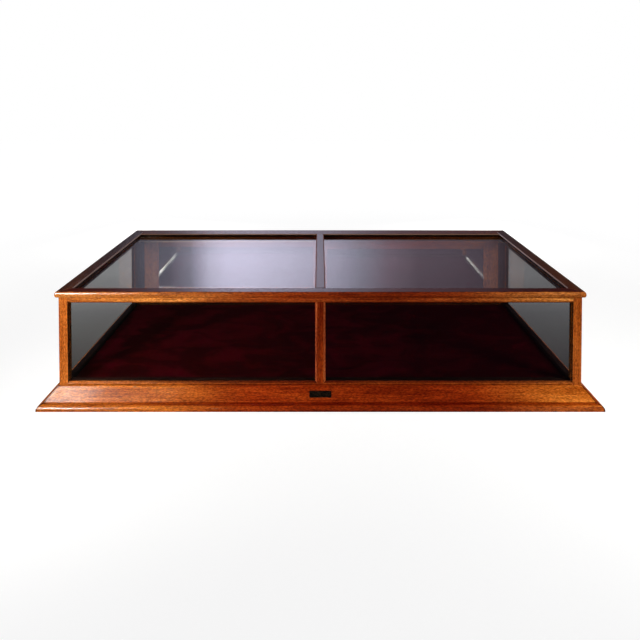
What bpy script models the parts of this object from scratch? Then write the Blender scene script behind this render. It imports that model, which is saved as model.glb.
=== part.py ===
"""A glazed countertop display case with a velvet floor and two mirrored sliding rear doors.

Units are metres, +Z is up, the glass front faces -Y and the origin lies under the middle of the case.
"""
import math

import bmesh
import bpy
from mathutils import Matrix, Vector

# Overall sizes. Width and depth are measured over the posts.
CASE_WIDTH = 1.200
CASE_DEPTH = 0.606
CASE_HEIGHT = 0.260

# Gap left between pieces that touch or fit into each other.
FIT = 0.0003

# Points nearer than this are one point, and edges sharper than this angle stay sharp.
WELD = 0.00001
SHARP_ANGLE = math.radians(40)

# Posts, mullion and rails.
POST_WIDTH = 0.020
POST_DEPTH = 0.024
JAMB_DEPTH = 0.080
MULLION_WIDTH = 0.0236
MULLION_BEVEL = 0.0046
BOTTOM_RAIL_REVEAL = 0.0087
TOP_RAIL_HEIGHT = 0.0145
RAIL_BEVEL_HEIGHT = 0.004
RAIL_BEVEL_DEPTH = 0.005
TENON_LENGTH = 0.008
TENON_INSET = 0.004
TENON_THICKNESS = 0.008
TENON_SHOULDER = 0.002
BOTTOM_TENON_SHOULDER = 0.008
JAMB_TENON_INSET = 0.020

# Glass in the carcass: every pane stands in grooves.
GLASS_THICKNESS = 0.004
GROOVE_INSET = 0.009
GROOVE_DEPTH = 0.006

# Top frame, centre bar and the rail below the bar.
TOP_THICKNESS = 0.0135
TOP_OVERHANG = 0.007
TOP_RAIL_WIDTH = 0.0315
TOP_BACK_WIDTH = 0.058
TOP_NOSE = 0.0035
TOP_INNER_BEVEL = 0.0025
TOP_REBATE_WIDTH = 0.008
BAR_WIDTH = 0.0245
BAR_STEM = 0.008
CENTRE_RAIL_WIDTH = 0.020
CENTRE_RAIL_HEIGHT = 0.012
NOSE_STEPS = 8

# Plinth moulding: a slope, a narrow quirk and an ovolo on a small square edge.
PLINTH_HEIGHT = 0.042
PLINTH_OUT = 0.038
PLINTH_EDGE = 0.0037
PLINTH_TOP_OUT = 0.003
PLINTH_TOP_DROP = 0.001
SLOPE_FOOT_OUT = 0.0246
SLOPE_FOOT_HEIGHT = 0.015
QUIRK_WIDTH = 0.0022
QUIRK_DEPTH = 0.003
OVOLO_HEIGHT = 0.0093
OVOLO_STEPS = 5

# Floor: a deck on battens with a velvet lining on top.
LINING_DROP = 0.0085
LINING_THICKNESS = 0.0057
DECK_THICKNESS = 0.012
BATTEN_WIDTH = 0.018
BATTEN_LIFT = 0.0105
BACK_BOARD_THICKNESS = 0.020

# Plate on the plinth.
PLATE_WIDTH = 0.050
PLATE_HEIGHT = 0.014
PLATE_THICKNESS = 0.001
PLATE_CORNER = 0.0015
PIN_RADIUS = 0.0007
PIN_HEAD_RADIUS = 0.0015
PIN_HEAD_HEIGHT = 0.0007
PIN_LENGTH = 0.006
PIN_INSET = 0.003
PIN_STEPS = 12
PIN_DOME_STEPS = 3

# Sliding doors, their runners and their guides.
HEAD_THICKNESS = 0.008
HEAD_SETBACK = 0.010
DOOR_THICKNESS = 0.022
DOOR_SETBACK = 0.012
TRACK_PITCH = 0.026
DOOR_CLEARANCE = 0.001
STILE_WIDTH = 0.043
DOOR_TOP_RAIL = 0.024
DOOR_BOTTOM_RAIL = 0.028
DOOR_LIP = 0.006
DOOR_REBATE = 0.008
MIRROR_THICKNESS = 0.004
BACK_PANEL_THICKNESS = 0.004
DOOR_TENON_LENGTH = 0.018
DOOR_TENON_THICKNESS = 0.006
DOOR_TENON_HEIGHT = 0.008
RUNNER_WIDTH = 0.006
RUNNER_RISE = 0.005
RUNNER_LET_IN = 0.003
STOP_WIDTH = 0.013
PULL_FLANGE_RADIUS = 0.014
PULL_CUP_RADIUS = 0.011
PULL_DEPTH = 0.009
PULL_WALL = 0.0012
PULL_STEPS = 24
BEAD_WIDTH = 0.010

# Places that follow from the sizes above. The top's rear edge and the plinth's front bound the depth.
HALF_WIDTH = CASE_WIDTH / 2
FRONT_Y = (PLINTH_OUT - CASE_DEPTH - TOP_OVERHANG) / 2
BACK_Y = FRONT_Y + CASE_DEPTH
BAY_X = HALF_WIDTH - POST_WIDTH
BAY_FRONT_Y = FRONT_Y + POST_DEPTH
JAMB_Y = BACK_Y - JAMB_DEPTH
HEAD_Y = JAMB_Y + HEAD_SETBACK
TOP_UNDERSIDE = CASE_HEIGHT - TOP_THICKNESS
CARCASS_TOP = TOP_UNDERSIDE - FIT
TOP_RAIL_UNDERSIDE = TOP_UNDERSIDE - TOP_RAIL_HEIGHT
HEAD_UNDERSIDE = CARCASS_TOP - HEAD_THICKNESS
GROOVE_WIDTH = GLASS_THICKNESS + 2 * FIT
LEDGE_Z = TOP_UNDERSIDE + GLASS_THICKNESS + FIT
BOTTOM_RAIL_HEIGHT = PLINTH_HEIGHT + BOTTOM_RAIL_REVEAL
LINING_TOP = BOTTOM_RAIL_HEIGHT - LINING_DROP
LINING_UNDERSIDE = LINING_TOP - LINING_THICKNESS
DECK_TOP = LINING_UNDERSIDE - FIT
DECK_UNDERSIDE = DECK_TOP - DECK_THICKNESS
BATTEN_TOP = DECK_UNDERSIDE - FIT
SILL_UNDERSIDE = DECK_TOP + FIT
BACK_BOARD_Y = BACK_Y - BACK_BOARD_THICKNESS
BAY_WIDTH = (-BAY_X + FIT, BAY_X - FIT)
BOTTOM_GROOVE_Z = BOTTOM_RAIL_HEIGHT - GROOVE_DEPTH
TOP_GROOVE_Z = TOP_RAIL_UNDERSIDE + GROOVE_DEPTH
GROOVE_OUTER = -GROOVE_INSET
GROOVE_INNER = -GROOVE_INSET - GROOVE_WIDTH
TOP_INNER_EDGE = TOP_OVERHANG - TOP_RAIL_WIDTH
TOP_REBATE_EDGE = TOP_INNER_EDGE + TOP_REBATE_WIDTH
TOP_BACK_EDGE = TOP_OVERHANG - TOP_BACK_WIDTH
TOP_BACK_REBATE_EDGE = TOP_BACK_EDGE + TOP_REBATE_WIDTH

for old in list(bpy.data.objects):
    bpy.data.objects.remove(old, do_unlink=True)

PARTS = bpy.data.collections.new("countertop_display_case")
CUTTERS = bpy.data.collections.new("cutters")
for collection in (PARTS, CUTTERS):
    bpy.context.scene.collection.children.link(collection)


def make_material(name, colour, roughness, metallic=0.0, alpha=1.0):
    material = bpy.data.materials.new(name)
    material.use_nodes = True
    shader = material.node_tree.nodes["Principled BSDF"]
    shader.inputs["Base Color"].default_value = (*colour, 1.0)
    shader.inputs["Roughness"].default_value = roughness
    shader.inputs["Metallic"].default_value = metallic
    shader.inputs["Alpha"].default_value = alpha
    material.diffuse_color = (*colour, alpha)
    return material


MAHOGANY = make_material("mahogany", (0.32, 0.085, 0.025), 0.30)
DARK_MAHOGANY = make_material("dark_mahogany", (0.075, 0.030, 0.018), 0.25)
PINE = make_material("pine", (0.48, 0.33, 0.18), 0.70)
BEECH = make_material("beech", (0.50, 0.32, 0.17), 0.40)
GLASS = make_material("glass", (0.86, 0.89, 0.90), 0.02, alpha=0.2)
MIRROR = make_material("mirror", (0.85, 0.86, 0.87), 0.02, metallic=1.0)
VELVET = make_material("velvet", (0.045, 0.002, 0.006), 0.95)
BRASS = make_material("brass", (0.55, 0.38, 0.13), 0.35, metallic=1.0)
BRONZE = make_material("bronze", (0.03, 0.022, 0.016), 0.45, metallic=1.0)
STEEL = make_material("steel", (0.40, 0.39, 0.37), 0.40, metallic=1.0)


def place(thing, material, parent=None):
    """Files a finished piece with the parts, gives it its material and hangs it on its parent."""
    for collection in list(thing.users_collection):
        collection.objects.unlink(thing)
    PARTS.objects.link(thing)
    thing.data.materials.clear()
    thing.data.materials.append(material)
    if parent is not None:
        thing.parent = parent
        thing.matrix_parent_inverse = parent.matrix_world.inverted()
    return thing


def as_tool(thing):
    """Files an object with the cutters."""
    for collection in list(thing.users_collection):
        collection.objects.unlink(thing)
    CUTTERS.objects.link(thing)
    thing.hide_render = True
    thing.display_type = "WIRE"
    return thing


def box(name, x_range, y_range, z_range, grow=0.0):
    """A plain block between the given coordinates, larger all round by grow."""
    low = Vector((min(x_range), min(y_range), min(z_range))) - Vector((grow, grow, grow))
    high = Vector((max(x_range), max(y_range), max(z_range))) + Vector((grow, grow, grow))
    bpy.ops.mesh.primitive_cube_add(size=1, location=(low + high) / 2)
    block = bpy.context.active_object
    block.name = name
    block.scale = high - low
    bpy.ops.object.transform_apply(location=False, rotation=False, scale=True)
    return block


def prism(name, outline, length, frame):
    """A solid with its outline in the frame's X and Y, centred along the frame's Z."""
    curve = bpy.data.curves.new(name, "CURVE")
    curve.dimensions = "2D"
    curve.fill_mode = "BOTH"
    curve.extrude = length / 2
    spline = curve.splines.new("POLY")
    spline.points.add(len(outline) - 1)
    spline.use_cyclic_u = True
    for point, (x, y) in zip(spline.points, outline):
        point.co = (x, y, 0, 1)
    drawn = bpy.data.objects.new(name + "_outline", curve)
    bpy.context.scene.collection.objects.link(drawn)
    evaluated = drawn.evaluated_get(bpy.context.evaluated_depsgraph_get())
    mesh = bpy.data.meshes.new_from_object(evaluated)
    bpy.data.objects.remove(drawn)
    edit = bmesh.new()
    edit.from_mesh(mesh)
    bmesh.ops.remove_doubles(edit, verts=edit.verts, dist=WELD)
    bmesh.ops.recalc_face_normals(edit, faces=edit.faces)
    edit.to_mesh(mesh)
    edit.free()
    solid = bpy.data.objects.new(name, mesh)
    bpy.context.scene.collection.objects.link(solid)
    solid.matrix_world = frame
    return solid


def turned(name, profile, frame, steps):
    """A solid turned about the frame's Z, from a profile that starts and ends on the axis."""
    mesh = bpy.data.meshes.new(name)
    edit = bmesh.new()
    points = [edit.verts.new((radius, 0, height)) for radius, height in profile]
    for start, end in zip(points, points[1:]):
        edit.edges.new((start, end))
    edit.to_mesh(mesh)
    edit.free()
    solid = bpy.data.objects.new(name, mesh)
    bpy.context.scene.collection.objects.link(solid)
    screw = solid.modifiers.new("turn", "SCREW")
    screw.steps = steps
    screw.render_steps = steps
    screw.use_merge_vertices = True
    screw.merge_threshold = WELD
    bpy.context.view_layer.objects.active = solid
    bpy.ops.object.modifier_apply(modifier=screw.name)
    solid.data.shade_smooth()
    solid.data.set_sharp_from_angle(angle=SHARP_ANGLE)
    solid.matrix_world = frame
    return solid


def combine(target, tool, operation):
    modifier = target.modifiers.new(tool.name, "BOOLEAN")
    modifier.operation = operation
    modifier.solver = "EXACT"
    modifier.object = as_tool(tool)


def cut(target, tool):
    combine(target, tool, "DIFFERENCE")


def tenon(owner, socket, name, x_range, y_range, z_range):
    """A tongue that belongs to one piece and the mortise for it in another."""
    combine(owner, box(name + "_tenon", x_range, y_range, z_range), "UNION")
    cut(socket, box(name + "_mortise", x_range, y_range, z_range, grow=FIT))


def side_frame(outward, centre):
    """Axes of one side of the case: X outward, Y up and Z along the side."""
    up = Vector((0, 0, 1))
    along = Vector(outward).cross(up)
    frame = Matrix((outward, up, along)).transposed().to_4x4()
    frame.translation = centre
    return frame


FRONT_SIDE = side_frame((0, -1, 0), (0, FRONT_Y, 0))
BACK_SIDE = side_frame((0, 1, 0), (0, BACK_Y, 0))
SIDES = (("left", -1), ("right", 1))


def end_side(sign, y_from, y_to):
    """The frame of a left or right side, centred between two depths."""
    return side_frame((sign, 0, 0), (sign * HALF_WIDTH, (y_from + y_to) / 2, 0))


def mitre(solid, start, end):
    """Shears the two ends of a moulding so that they meet their neighbours at 45 degrees."""
    for vertex in solid.data.vertices:
        shear = end if vertex.co.z > 0 else -start
        vertex.co.z += shear * vertex.co.x


# Posts. The rear posts are deep jambs that hold the doors' tracks.
front_posts = {}
rear_posts = {}
for side, sign in SIDES:
    post_x = (sign * BAY_X, sign * HALF_WIDTH)
    front_posts[sign] = box(f"post_front_{side}", post_x, (FRONT_Y, BAY_FRONT_Y), (0, CARCASS_TOP))
    rear_posts[sign] = box(f"post_rear_{side}", post_x, (JAMB_Y, BACK_Y), (0, CARCASS_TOP))
    place(front_posts[sign], MAHOGANY)
    place(rear_posts[sign], MAHOGANY)


def bottom_rail_outline(thickness):
    """A rail with a bevel on its outer arris and a glass groove in its top."""
    return [(0, 0), (0, BOTTOM_RAIL_HEIGHT - RAIL_BEVEL_HEIGHT), (-RAIL_BEVEL_DEPTH, BOTTOM_RAIL_HEIGHT),
            (GROOVE_OUTER, BOTTOM_RAIL_HEIGHT), (GROOVE_OUTER, BOTTOM_GROOVE_Z),
            (GROOVE_INNER, BOTTOM_GROOVE_Z), (GROOVE_INNER, BOTTOM_RAIL_HEIGHT),
            (-thickness, BOTTOM_RAIL_HEIGHT), (-thickness, 0)]


def top_rail_outline(thickness):
    """A rail with a bevel on its outer lower arris and a glass groove in its underside."""
    return [(0, CARCASS_TOP), (0, TOP_RAIL_UNDERSIDE + RAIL_BEVEL_HEIGHT),
            (-RAIL_BEVEL_DEPTH, TOP_RAIL_UNDERSIDE), (GROOVE_OUTER, TOP_RAIL_UNDERSIDE),
            (GROOVE_OUTER, TOP_GROOVE_Z), (GROOVE_INNER, TOP_GROOVE_Z),
            (GROOVE_INNER, TOP_RAIL_UNDERSIDE), (-thickness, TOP_RAIL_UNDERSIDE),
            (-thickness, CARCASS_TOP)]


# Front and side rails, tenoned into the posts.
BOTTOM_TENON_Z = (BOTTOM_TENON_SHOULDER, BOTTOM_GROOVE_Z - BOTTOM_TENON_SHOULDER)
TOP_TENON_Z = (TOP_GROOVE_Z + TENON_SHOULDER, CARCASS_TOP - TENON_SHOULDER)
RAIL_KINDS = (("bottom_rail", bottom_rail_outline, BOTTOM_TENON_Z),
              ("top_rail", top_rail_outline, TOP_TENON_Z))
front_rails = {}
for kind, outline, tenon_z in RAIL_KINDS:
    front_rail = prism(f"{kind}_front", outline(POST_DEPTH), 2 * (BAY_X - FIT), FRONT_SIDE)
    place(front_rail, MAHOGANY)
    front_rails[kind] = front_rail
    tenon_y = (FRONT_Y + TENON_INSET, FRONT_Y + TENON_INSET + TENON_THICKNESS)
    for side, sign in SIDES:
        tenon_x = (sign * (BAY_X - TENON_LENGTH), sign * (BAY_X + TENON_LENGTH))
        tenon(front_rail, front_posts[sign], f"{kind}_front_{side}", tenon_x, tenon_y, tenon_z)
    for side, sign in SIDES:
        run = JAMB_Y - BAY_FRONT_Y - 2 * FIT
        side_rail = prism(f"{kind}_{side}", outline(POST_WIDTH), run, end_side(sign, BAY_FRONT_Y, JAMB_Y))
        place(side_rail, MAHOGANY)
        tenon_x = (sign * (HALF_WIDTH - TENON_INSET), sign * (HALF_WIDTH - TENON_INSET - TENON_THICKNESS))
        for end, post, shoulder_y in (("fore", front_posts[sign], BAY_FRONT_Y),
                                      ("aft", rear_posts[sign], JAMB_Y)):
            tenon_y = (shoulder_y - TENON_LENGTH, shoulder_y + TENON_LENGTH)
            tenon(side_rail, post, f"{kind}_{side}_{end}", tenon_x, tenon_y, tenon_z)


# Mullion: scribed over the rails' bevels, with tongues in their grooves and a bevel on each front edge.
mullion_outline = [
    (0, BOTTOM_RAIL_HEIGHT - RAIL_BEVEL_HEIGHT + FIT), (-RAIL_BEVEL_DEPTH, BOTTOM_RAIL_HEIGHT + FIT),
    (GROOVE_OUTER - FIT, BOTTOM_RAIL_HEIGHT + FIT), (GROOVE_OUTER - FIT, BOTTOM_GROOVE_Z + FIT),
    (GROOVE_INNER + FIT, BOTTOM_GROOVE_Z + FIT), (GROOVE_INNER + FIT, BOTTOM_RAIL_HEIGHT + FIT),
    (-POST_DEPTH, BOTTOM_RAIL_HEIGHT + FIT), (-POST_DEPTH, TOP_RAIL_UNDERSIDE - FIT),
    (GROOVE_INNER + FIT, TOP_RAIL_UNDERSIDE - FIT), (GROOVE_INNER + FIT, TOP_GROOVE_Z - FIT),
    (GROOVE_OUTER - FIT, TOP_GROOVE_Z - FIT), (GROOVE_OUTER - FIT, TOP_RAIL_UNDERSIDE - FIT),
    (-RAIL_BEVEL_DEPTH, TOP_RAIL_UNDERSIDE - FIT), (0, TOP_RAIL_UNDERSIDE + RAIL_BEVEL_HEIGHT - FIT)]
mullion = place(prism("mullion_front", mullion_outline, MULLION_WIDTH, FRONT_SIDE), MAHOGANY)
for side, sign in SIDES:
    edge_x = sign * MULLION_WIDTH / 2
    wedge = [(edge_x + sign * MULLION_BEVEL, FRONT_Y - MULLION_BEVEL),
             (edge_x - sign * 2 * MULLION_BEVEL, FRONT_Y - MULLION_BEVEL),
             (edge_x + sign * MULLION_BEVEL, FRONT_Y + 2 * MULLION_BEVEL)]
    cut(mullion, prism(f"mullion_bevel_{side}", wedge, 2 * CASE_HEIGHT, Matrix.Identity(4)))


# Sill, head and back board between the rear posts, and the rail below the centre bar.
door_sill = box("door_sill", BAY_WIDTH, (JAMB_Y, BACK_Y), (SILL_UNDERSIDE, BOTTOM_RAIL_HEIGHT))
door_head = box("door_head", BAY_WIDTH, (HEAD_Y, BACK_Y), (HEAD_UNDERSIDE, CARCASS_TOP))
plinth_back = box("plinth_back", BAY_WIDTH, (BACK_BOARD_Y, BACK_Y), (0, SILL_UNDERSIDE - FIT))
for piece in (door_sill, door_head, plinth_back):
    place(piece, MAHOGANY)
jamb_tenon_y = (JAMB_Y + JAMB_TENON_INSET, BACK_Y - JAMB_TENON_INSET)
back_tenon_y = (BACK_Y - TENON_INSET - TENON_THICKNESS, BACK_Y - TENON_INSET)
for side, sign in SIDES:
    tenon_x = (sign * (BAY_X - TENON_LENGTH), sign * (BAY_X + TENON_LENGTH))
    tenon(door_sill, rear_posts[sign], f"sill_{side}", tenon_x, jamb_tenon_y,
          (SILL_UNDERSIDE + TENON_SHOULDER, BOTTOM_RAIL_HEIGHT - RUNNER_LET_IN - TENON_SHOULDER))
    tenon(door_head, rear_posts[sign], f"head_{side}", tenon_x, jamb_tenon_y,
          (HEAD_UNDERSIDE + TENON_SHOULDER, CARCASS_TOP - TENON_SHOULDER))
    tenon(plinth_back, rear_posts[sign], f"back_{side}", tenon_x, back_tenon_y,
          (BOTTOM_TENON_SHOULDER, SILL_UNDERSIDE - BOTTOM_TENON_SHOULDER))

centre_rail_x = (-CENTRE_RAIL_WIDTH / 2, CENTRE_RAIL_WIDTH / 2)
centre_rail = box("centre_rail", centre_rail_x, (BAY_FRONT_Y + FIT, HEAD_Y - FIT),
                  (CARCASS_TOP - CENTRE_RAIL_HEIGHT, CARCASS_TOP))
place(centre_rail, MAHOGANY)
centre_tenon_x = (-TENON_THICKNESS / 2, TENON_THICKNESS / 2)
centre_tenon_z = (HEAD_UNDERSIDE + TENON_SHOULDER, CARCASS_TOP - TENON_SHOULDER)
for end, socket, shoulder_y in (("fore", front_rails["top_rail"], BAY_FRONT_Y), ("aft", door_head, HEAD_Y)):
    tenon_y = (shoulder_y - TENON_LENGTH, shoulder_y + TENON_LENGTH)
    tenon(centre_rail, socket, f"centre_rail_{end}", centre_tenon_x, tenon_y, centre_tenon_z)


# Upright panes. Each one, grown by the fit, cuts its own grooves in the posts and the mullion.
pane_z = (BOTTOM_GROOVE_Z + FIT, TOP_GROOVE_Z - FIT)
for side, sign in SIDES:
    front_x = (sign * (MULLION_WIDTH / 2 - GROOVE_DEPTH + FIT), sign * (BAY_X + GROOVE_DEPTH - FIT))
    front_y = (FRONT_Y + GROOVE_INSET + FIT, FRONT_Y + GROOVE_INSET + FIT + GLASS_THICKNESS)
    place(box(f"glass_front_{side}", front_x, front_y, pane_z), GLASS)
    for member in (front_posts[sign], mullion):
        cut(member, box(f"front_groove_{side}_{member.name}", front_x, front_y, pane_z, grow=FIT))
    pane_outer = HALF_WIDTH - GROOVE_INSET - FIT
    end_x = (sign * pane_outer, sign * (pane_outer - GLASS_THICKNESS))
    end_y = (BAY_FRONT_Y - GROOVE_DEPTH + FIT, JAMB_Y + GROOVE_DEPTH - FIT)
    place(box(f"glass_side_{side}", end_x, end_y, pane_z), GLASS)
    for member in (front_posts[sign], rear_posts[sign]):
        cut(member, box(f"side_groove_{side}_{member.name}", end_x, end_y, pane_z, grow=FIT))


def half_turn(count):
    """Angles from straight down to straight up on the outer side."""
    return [math.pi * (step / count - 0.5) for step in range(count + 1)]


def top_inner_outline(inner_edge, rebate_edge):
    """The bevelled inner edge of the top frame, with the rebate under it for the glass."""
    return [(inner_edge + TOP_INNER_BEVEL, CASE_HEIGHT), (inner_edge, CASE_HEIGHT - TOP_INNER_BEVEL),
            (inner_edge, LEDGE_Z), (rebate_edge, LEDGE_Z), (rebate_edge, TOP_UNDERSIDE)]


# Mitred top frame with a half-round edge and a rebate that holds the top panes down on the rails.
# Its back member is wider, with square shoulders between the side members, and covers the doors' head.
nose_x = TOP_OVERHANG - TOP_NOSE
nose_z = CASE_HEIGHT - TOP_THICKNESS / 2
top_outline = [(nose_x + TOP_NOSE * math.cos(angle), nose_z + TOP_THICKNESS / 2 * math.sin(angle))
               for angle in half_turn(NOSE_STEPS)]
top_outline += top_inner_outline(TOP_INNER_EDGE, TOP_REBATE_EDGE)
top_members = {}
for side, frame, length in (("front", FRONT_SIDE, CASE_WIDTH), ("back", BACK_SIDE, CASE_WIDTH),
                            ("left", end_side(-1, FRONT_Y, BACK_Y), CASE_DEPTH),
                            ("right", end_side(1, FRONT_Y, BACK_Y), CASE_DEPTH)):
    member = prism(f"top_frame_{side}", top_outline, length - FIT, frame)
    mitre(member, 1, 1)
    place(member, DARK_MAHOGANY)
    top_members[side] = member
back_join = TOP_REBATE_EDGE + TOP_INNER_BEVEL
back_outline = [(back_join, TOP_UNDERSIDE), (back_join, CASE_HEIGHT)]
back_outline += top_inner_outline(TOP_BACK_EDGE, TOP_BACK_REBATE_EDGE)
back_length = 2 * (HALF_WIDTH + TOP_INNER_EDGE - FIT)
combine(top_members["back"], prism("top_back_width", back_outline, back_length, BACK_SIDE), "UNION")

bar_outline = [(BAR_STEM / 2, TOP_UNDERSIDE), (BAR_STEM / 2, LEDGE_Z), (BAR_WIDTH / 2, LEDGE_Z),
               (BAR_WIDTH / 2, CASE_HEIGHT - TOP_INNER_BEVEL), (BAR_WIDTH / 2 - TOP_INNER_BEVEL, CASE_HEIGHT)]
bar_outline += [(-x, z) for x, z in reversed(bar_outline)]
top_pane_y = (FRONT_Y - TOP_REBATE_EDGE + FIT, BACK_Y + TOP_BACK_REBATE_EDGE - FIT)
bar_frame = side_frame((1, 0, 0), (0, sum(top_pane_y) / 2, 0))
centre_bar = prism("top_centre_bar", bar_outline, top_pane_y[1] - top_pane_y[0], bar_frame)
place(centre_bar, DARK_MAHOGANY)
for end, lap_y in (("fore", (FRONT_Y, FRONT_Y - TOP_INNER_EDGE + FIT)),
                   ("aft", (BACK_Y + TOP_BACK_EDGE - FIT, BACK_Y))):
    cut(centre_bar, box(f"bar_lap_{end}", (-BAR_WIDTH, BAR_WIDTH), lap_y, (LEDGE_Z - FIT, 2 * CASE_HEIGHT)))

for side, sign in SIDES:
    top_pane_x = (sign * (BAR_STEM / 2 + FIT), sign * (HALF_WIDTH + TOP_REBATE_EDGE - FIT))
    top_pane_z = (TOP_UNDERSIDE, TOP_UNDERSIDE + GLASS_THICKNESS)
    place(box(f"glass_top_{side}", top_pane_x, top_pane_y, top_pane_z), GLASS)


def plinth_outline():
    """The moulding's section, from its flat back outward."""
    quirk_out = SLOPE_FOOT_OUT + QUIRK_WIDTH
    quirk_floor = PLINTH_EDGE + OVOLO_HEIGHT - QUIRK_DEPTH
    quarter = [math.pi / 2 * step / OVOLO_STEPS for step in range(OVOLO_STEPS + 1)]
    ovolo_run = PLINTH_OUT - quirk_out
    ovolo = [(quirk_out + ovolo_run * math.cos(angle), PLINTH_EDGE + OVOLO_HEIGHT * math.sin(angle))
             for angle in quarter]
    return [(FIT, 0), (PLINTH_OUT, 0), *ovolo, (quirk_out, quirk_floor), (SLOPE_FOOT_OUT, quirk_floor),
            (SLOPE_FOOT_OUT, SLOPE_FOOT_HEIGHT), (PLINTH_TOP_OUT, PLINTH_HEIGHT - PLINTH_TOP_DROP),
            (FIT, PLINTH_HEIGHT)]


# Plinth moulding on the front and both sides, mitred at the front corners.
plinth_front = prism("plinth_front", plinth_outline(), CASE_WIDTH - FIT, FRONT_SIDE)
mitre(plinth_front, 1, 1)
place(plinth_front, MAHOGANY)
for side, sign in SIDES:
    plinth_side = prism(f"plinth_{side}", plinth_outline(), CASE_DEPTH - FIT, end_side(sign, FRONT_Y, BACK_Y))
    mitre(plinth_side, 1 if sign < 0 else 0, 1 if sign > 0 else 0)
    place(plinth_side, MAHOGANY)


# Floor: velvet lining, deck and battens.
deck_y = (BAY_FRONT_Y + FIT, BACK_BOARD_Y - FIT)
lining_y = (BAY_FRONT_Y + FIT, JAMB_Y - FIT)
place(box("floor_lining", BAY_WIDTH, lining_y, (LINING_UNDERSIDE, LINING_TOP)), VELVET)
place(box("base_board", BAY_WIDTH, deck_y, (DECK_UNDERSIDE, DECK_TOP)), PINE)
batten_z = (BATTEN_LIFT, BATTEN_TOP)
cross_y = (deck_y[0] + BATTEN_WIDTH + FIT, deck_y[1] - BATTEN_WIDTH - FIT)
for name, batten_x, batten_y in (("front", BAY_WIDTH, (deck_y[0], deck_y[0] + BATTEN_WIDTH)),
                                 ("back", BAY_WIDTH, (deck_y[1] - BATTEN_WIDTH, deck_y[1])),
                                 ("centre", (-BATTEN_WIDTH / 2, BATTEN_WIDTH / 2), cross_y)):
    place(box(f"batten_{name}", batten_x, batten_y, batten_z), PINE)


# Plate and its two pins, half way up the plinth's slope.
slope_rise = PLINTH_HEIGHT - PLINTH_TOP_DROP - SLOPE_FOOT_HEIGHT
slope_run = SLOPE_FOOT_OUT - PLINTH_TOP_OUT
slope_normal = Vector((0, -slope_rise, slope_run)).normalized()
slope_up = slope_normal.cross(Vector((1, 0, 0)))
plate_frame = Matrix(((1, 0, 0), slope_up, slope_normal)).transposed().to_4x4()
slope_middle_out = (SLOPE_FOOT_OUT + PLINTH_TOP_OUT) / 2
plate_frame.translation = (0, FRONT_Y - slope_middle_out, SLOPE_FOOT_HEIGHT + slope_rise / 2)
half_plate = (PLATE_WIDTH / 2 - PLATE_CORNER, PLATE_HEIGHT / 2 - PLATE_CORNER)
plate_outline = []
for quarter, (x_sign, y_sign) in enumerate(((1, 1), (-1, 1), (-1, -1), (1, -1))):
    for step in range(3):
        angle = math.pi / 2 * (quarter + step / 2)
        plate_outline.append((x_sign * half_plate[0] + PLATE_CORNER * math.cos(angle),
                              y_sign * half_plate[1] + PLATE_CORNER * math.sin(angle)))
plate_lift = Matrix.Translation((0, 0, FIT + PLATE_THICKNESS / 2))
nameplate = place(prism("nameplate", plate_outline, PLATE_THICKNESS, plate_frame @ plate_lift), BRONZE)
pin_seat = 2 * FIT + PLATE_THICKNESS
pin_dome = [math.pi / 2 * (1 - step / PIN_DOME_STEPS) for step in range(PIN_DOME_STEPS + 1)]
pin_profile = [(PIN_HEAD_RADIUS * math.cos(angle), pin_seat + PIN_HEAD_HEIGHT * math.sin(angle))
               for angle in pin_dome]
pin_profile[0] = (0, pin_seat + PIN_HEAD_HEIGHT)
pin_profile += [(PIN_RADIUS, pin_seat), (PIN_RADIUS, pin_seat - PIN_LENGTH), (0, pin_seat - PIN_LENGTH)]
pin_hole = [(0, pin_seat + FIT), (PIN_RADIUS + FIT, pin_seat + FIT),
            (PIN_RADIUS + FIT, pin_seat - PIN_LENGTH - FIT), (0, pin_seat - PIN_LENGTH - FIT)]
for side, sign in SIDES:
    pin_frame = plate_frame @ Matrix.Translation((sign * (PLATE_WIDTH / 2 - PIN_INSET), 0, 0))
    place(turned(f"nameplate_pin_{side}", pin_profile, pin_frame, PIN_STEPS), BRONZE)
    for pinned in (nameplate, plinth_front):
        cut(pinned, turned(f"pin_hole_{side}_{pinned.name}", pin_hole, pin_frame, PIN_STEPS))


# Sliding doors. The left door runs in the outer track and the right door in the inner track.
DOOR_BOTTOM = BOTTOM_RAIL_HEIGHT + DOOR_CLEARANCE
DOOR_TOP = HEAD_UNDERSIDE - DOOR_CLEARANCE
SIGHT_BOTTOM = DOOR_BOTTOM + DOOR_BOTTOM_RAIL
SIGHT_TOP = DOOR_TOP - DOOR_TOP_RAIL
RUNNER_TOP = BOTTOM_RAIL_HEIGHT + RUNNER_RISE
GUIDE_FOOT = HEAD_UNDERSIDE - RUNNER_RISE
LOW_TENON_Z = (RUNNER_TOP + SIGHT_BOTTOM - DOOR_REBATE) / 2
HIGH_TENON_Z = (GUIDE_FOOT + SIGHT_TOP + DOOR_REBATE) / 2


def add_track(name, door_y):
    """The slip that the door's foot runs on, the slip that guides its head, and their grooves."""
    slip_y = (door_y + (DOOR_THICKNESS - RUNNER_WIDTH) / 2, door_y + (DOOR_THICKNESS + RUNNER_WIDTH) / 2)
    for kind, holder, slip_z in (("runner", door_sill, (BOTTOM_RAIL_HEIGHT - RUNNER_LET_IN, RUNNER_TOP)),
                                 ("guide", door_head, (GUIDE_FOOT, HEAD_UNDERSIDE + RUNNER_LET_IN))):
        place(box(f"{kind}_{name}", BAY_WIDTH, slip_y, slip_z), BEECH)
        cut(holder, box(f"{kind}_{name}_groove", BAY_WIDTH, slip_y, slip_z, grow=FIT))
    return slip_y


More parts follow.
